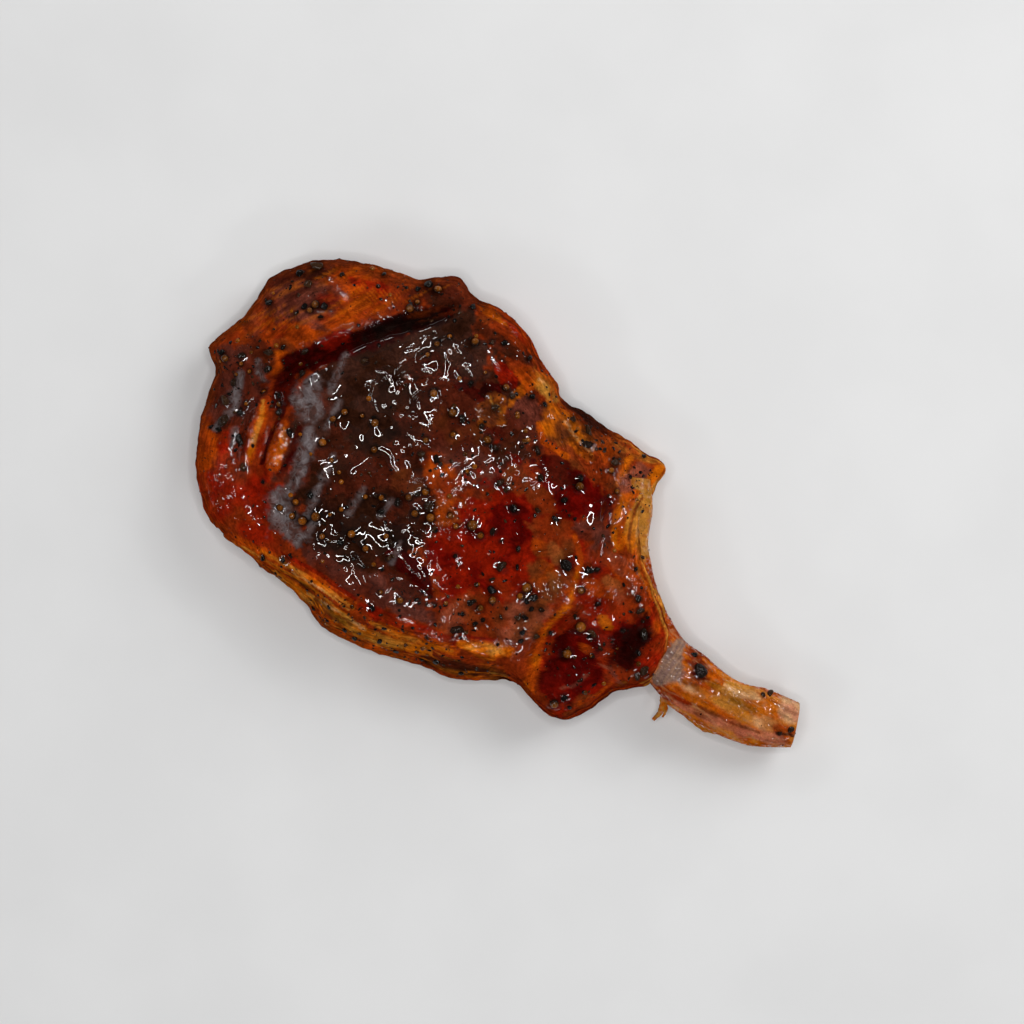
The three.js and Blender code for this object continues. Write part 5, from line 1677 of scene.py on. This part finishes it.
# The key lamp, given along the picture's sides, then four fills and four strips round the chop
KEY = {"place": (840, 760, 660), "size": (900, 900), "watts": 8.5}
SIDES = {"count": 4, "first": 35, "reach": 1100}
FILL = {"height": 540, "size": (1000, 1000), "watts": 2}
EDGE_LAMP = {"height": 760, "size": (520, 36), "watts": 1.3}

# A ring of lamps just outside the view, which the wet glaze mirrors as thin curls of light
RING_RADIUS = 250
RING_HEIGHT = 1010
RING_LAMPS = 14
RING_WATTS = 4.2
RING_WIDTH = 10

SENSOR_WIDTH = 36
CLIP = (0.05, 10)  # in metres


def area_light(name, place, size, watts, turn=0, mirrored=True):
    """A rectangular lamp aimed at the chop; a lamp of the ring has its long side along the ring."""
    lamp = bpy.data.lights.new(name, "AREA")
    lamp.shape = "RECTANGLE"
    lamp.size, lamp.size_y = size[0] * MM, size[1] * MM
    lamp.energy = watts
    made = bpy.data.objects.new(name, lamp)
    bpy.context.scene.collection.objects.link(made)
    made.visible_glossy = mirrored
    made.location = in_picture(*place)
    aim = (Vector(VIEW_MIDDLE) * MM - made.location).normalized()
    side = in_picture(-math.sin(turn), math.cos(turn), 0) - in_picture(0, 0, 0)
    side = (side - aim * side.dot(aim)).normalized()
    made.rotation_euler = Matrix((side, (-aim).cross(side), -aim)).transposed().to_euler()


def build_floor():
    corners = [(-1, -1, 0), (1, -1, 0), (1, 1, 0), (-1, 1, 0)]
    floor = make_object("floor", FLOOR_HALF * np.array(corners, float), [(0, 1, 2, 3)], smooth=False)
    floor.data.materials.append(plain_floor("floor"))


def build_lights():
    world = bpy.data.worlds.new("studio")
    bpy.context.scene.world = world
    world.use_nodes = True
    background = world.node_tree.nodes["Background"]
    background.inputs["Color"].default_value = (1, 1, 1, 1)
    background.inputs["Strength"].default_value = WORLD_STRENGTH
    area_light("key", KEY["place"], KEY["size"], KEY["watts"], mirrored=False)
    for k in range(SIDES["count"]):
        turn = math.radians(SIDES["first"]) + 2 * math.pi * k / SIDES["count"]
        beside = (SIDES["reach"] * math.cos(turn), SIDES["reach"] * math.sin(turn))
        fill, strip = (*beside, FILL["height"]), (*beside, EDGE_LAMP["height"])
        area_light(f"fill_{k}", fill, FILL["size"], FILL["watts"], mirrored=False)
        area_light(f"strip_{k}", strip, EDGE_LAMP["size"], EDGE_LAMP["watts"], turn)
    for k in range(RING_LAMPS):
        turn = 2 * math.pi * k / RING_LAMPS
        place = (RING_RADIUS * math.cos(turn), RING_RADIUS * math.sin(turn), RING_HEIGHT)
        length = 2 * math.pi * RING_RADIUS / RING_LAMPS
        area_light(f"ring_{k}", place, (length, RING_WIDTH), RING_WATTS / RING_LAMPS, turn)


def build_camera():
    data = bpy.data.cameras.new("camera")
    data.sensor_width = SENSOR_WIDTH
    data.lens = SENSOR_WIDTH * VIEW_DISTANCE / VIEW_WIDTH
    data.clip_start, data.clip_end = CLIP
    camera = bpy.data.objects.new("camera", data)
    bpy.context.scene.collection.objects.link(camera)
    middle = Vector(VIEW_MIDDLE) * MM
    lean = (in_picture(1, 1, VIEW_MIDDLE[2]) - middle).normalized() * math.tan(math.radians(VIEW_TILT))
    back = (Vector((0, 0, 1)) + lean).normalized()
    up = (in_picture(0, 1, VIEW_MIDDLE[2]) - middle).normalized()
    right = up.cross(back).normalized()
    rotation = Matrix((right, back.cross(right), back)).transposed()
    camera.matrix_world = Matrix.Translation(middle + back * VIEW_DISTANCE * MM) @ rotation.to_4x4()
    bpy.context.scene.camera = camera


build_camera()
build_floor()
build_lights()
build_grains(*build_chop())
bpy.context.scene.view_settings.view_transform = "Standard"
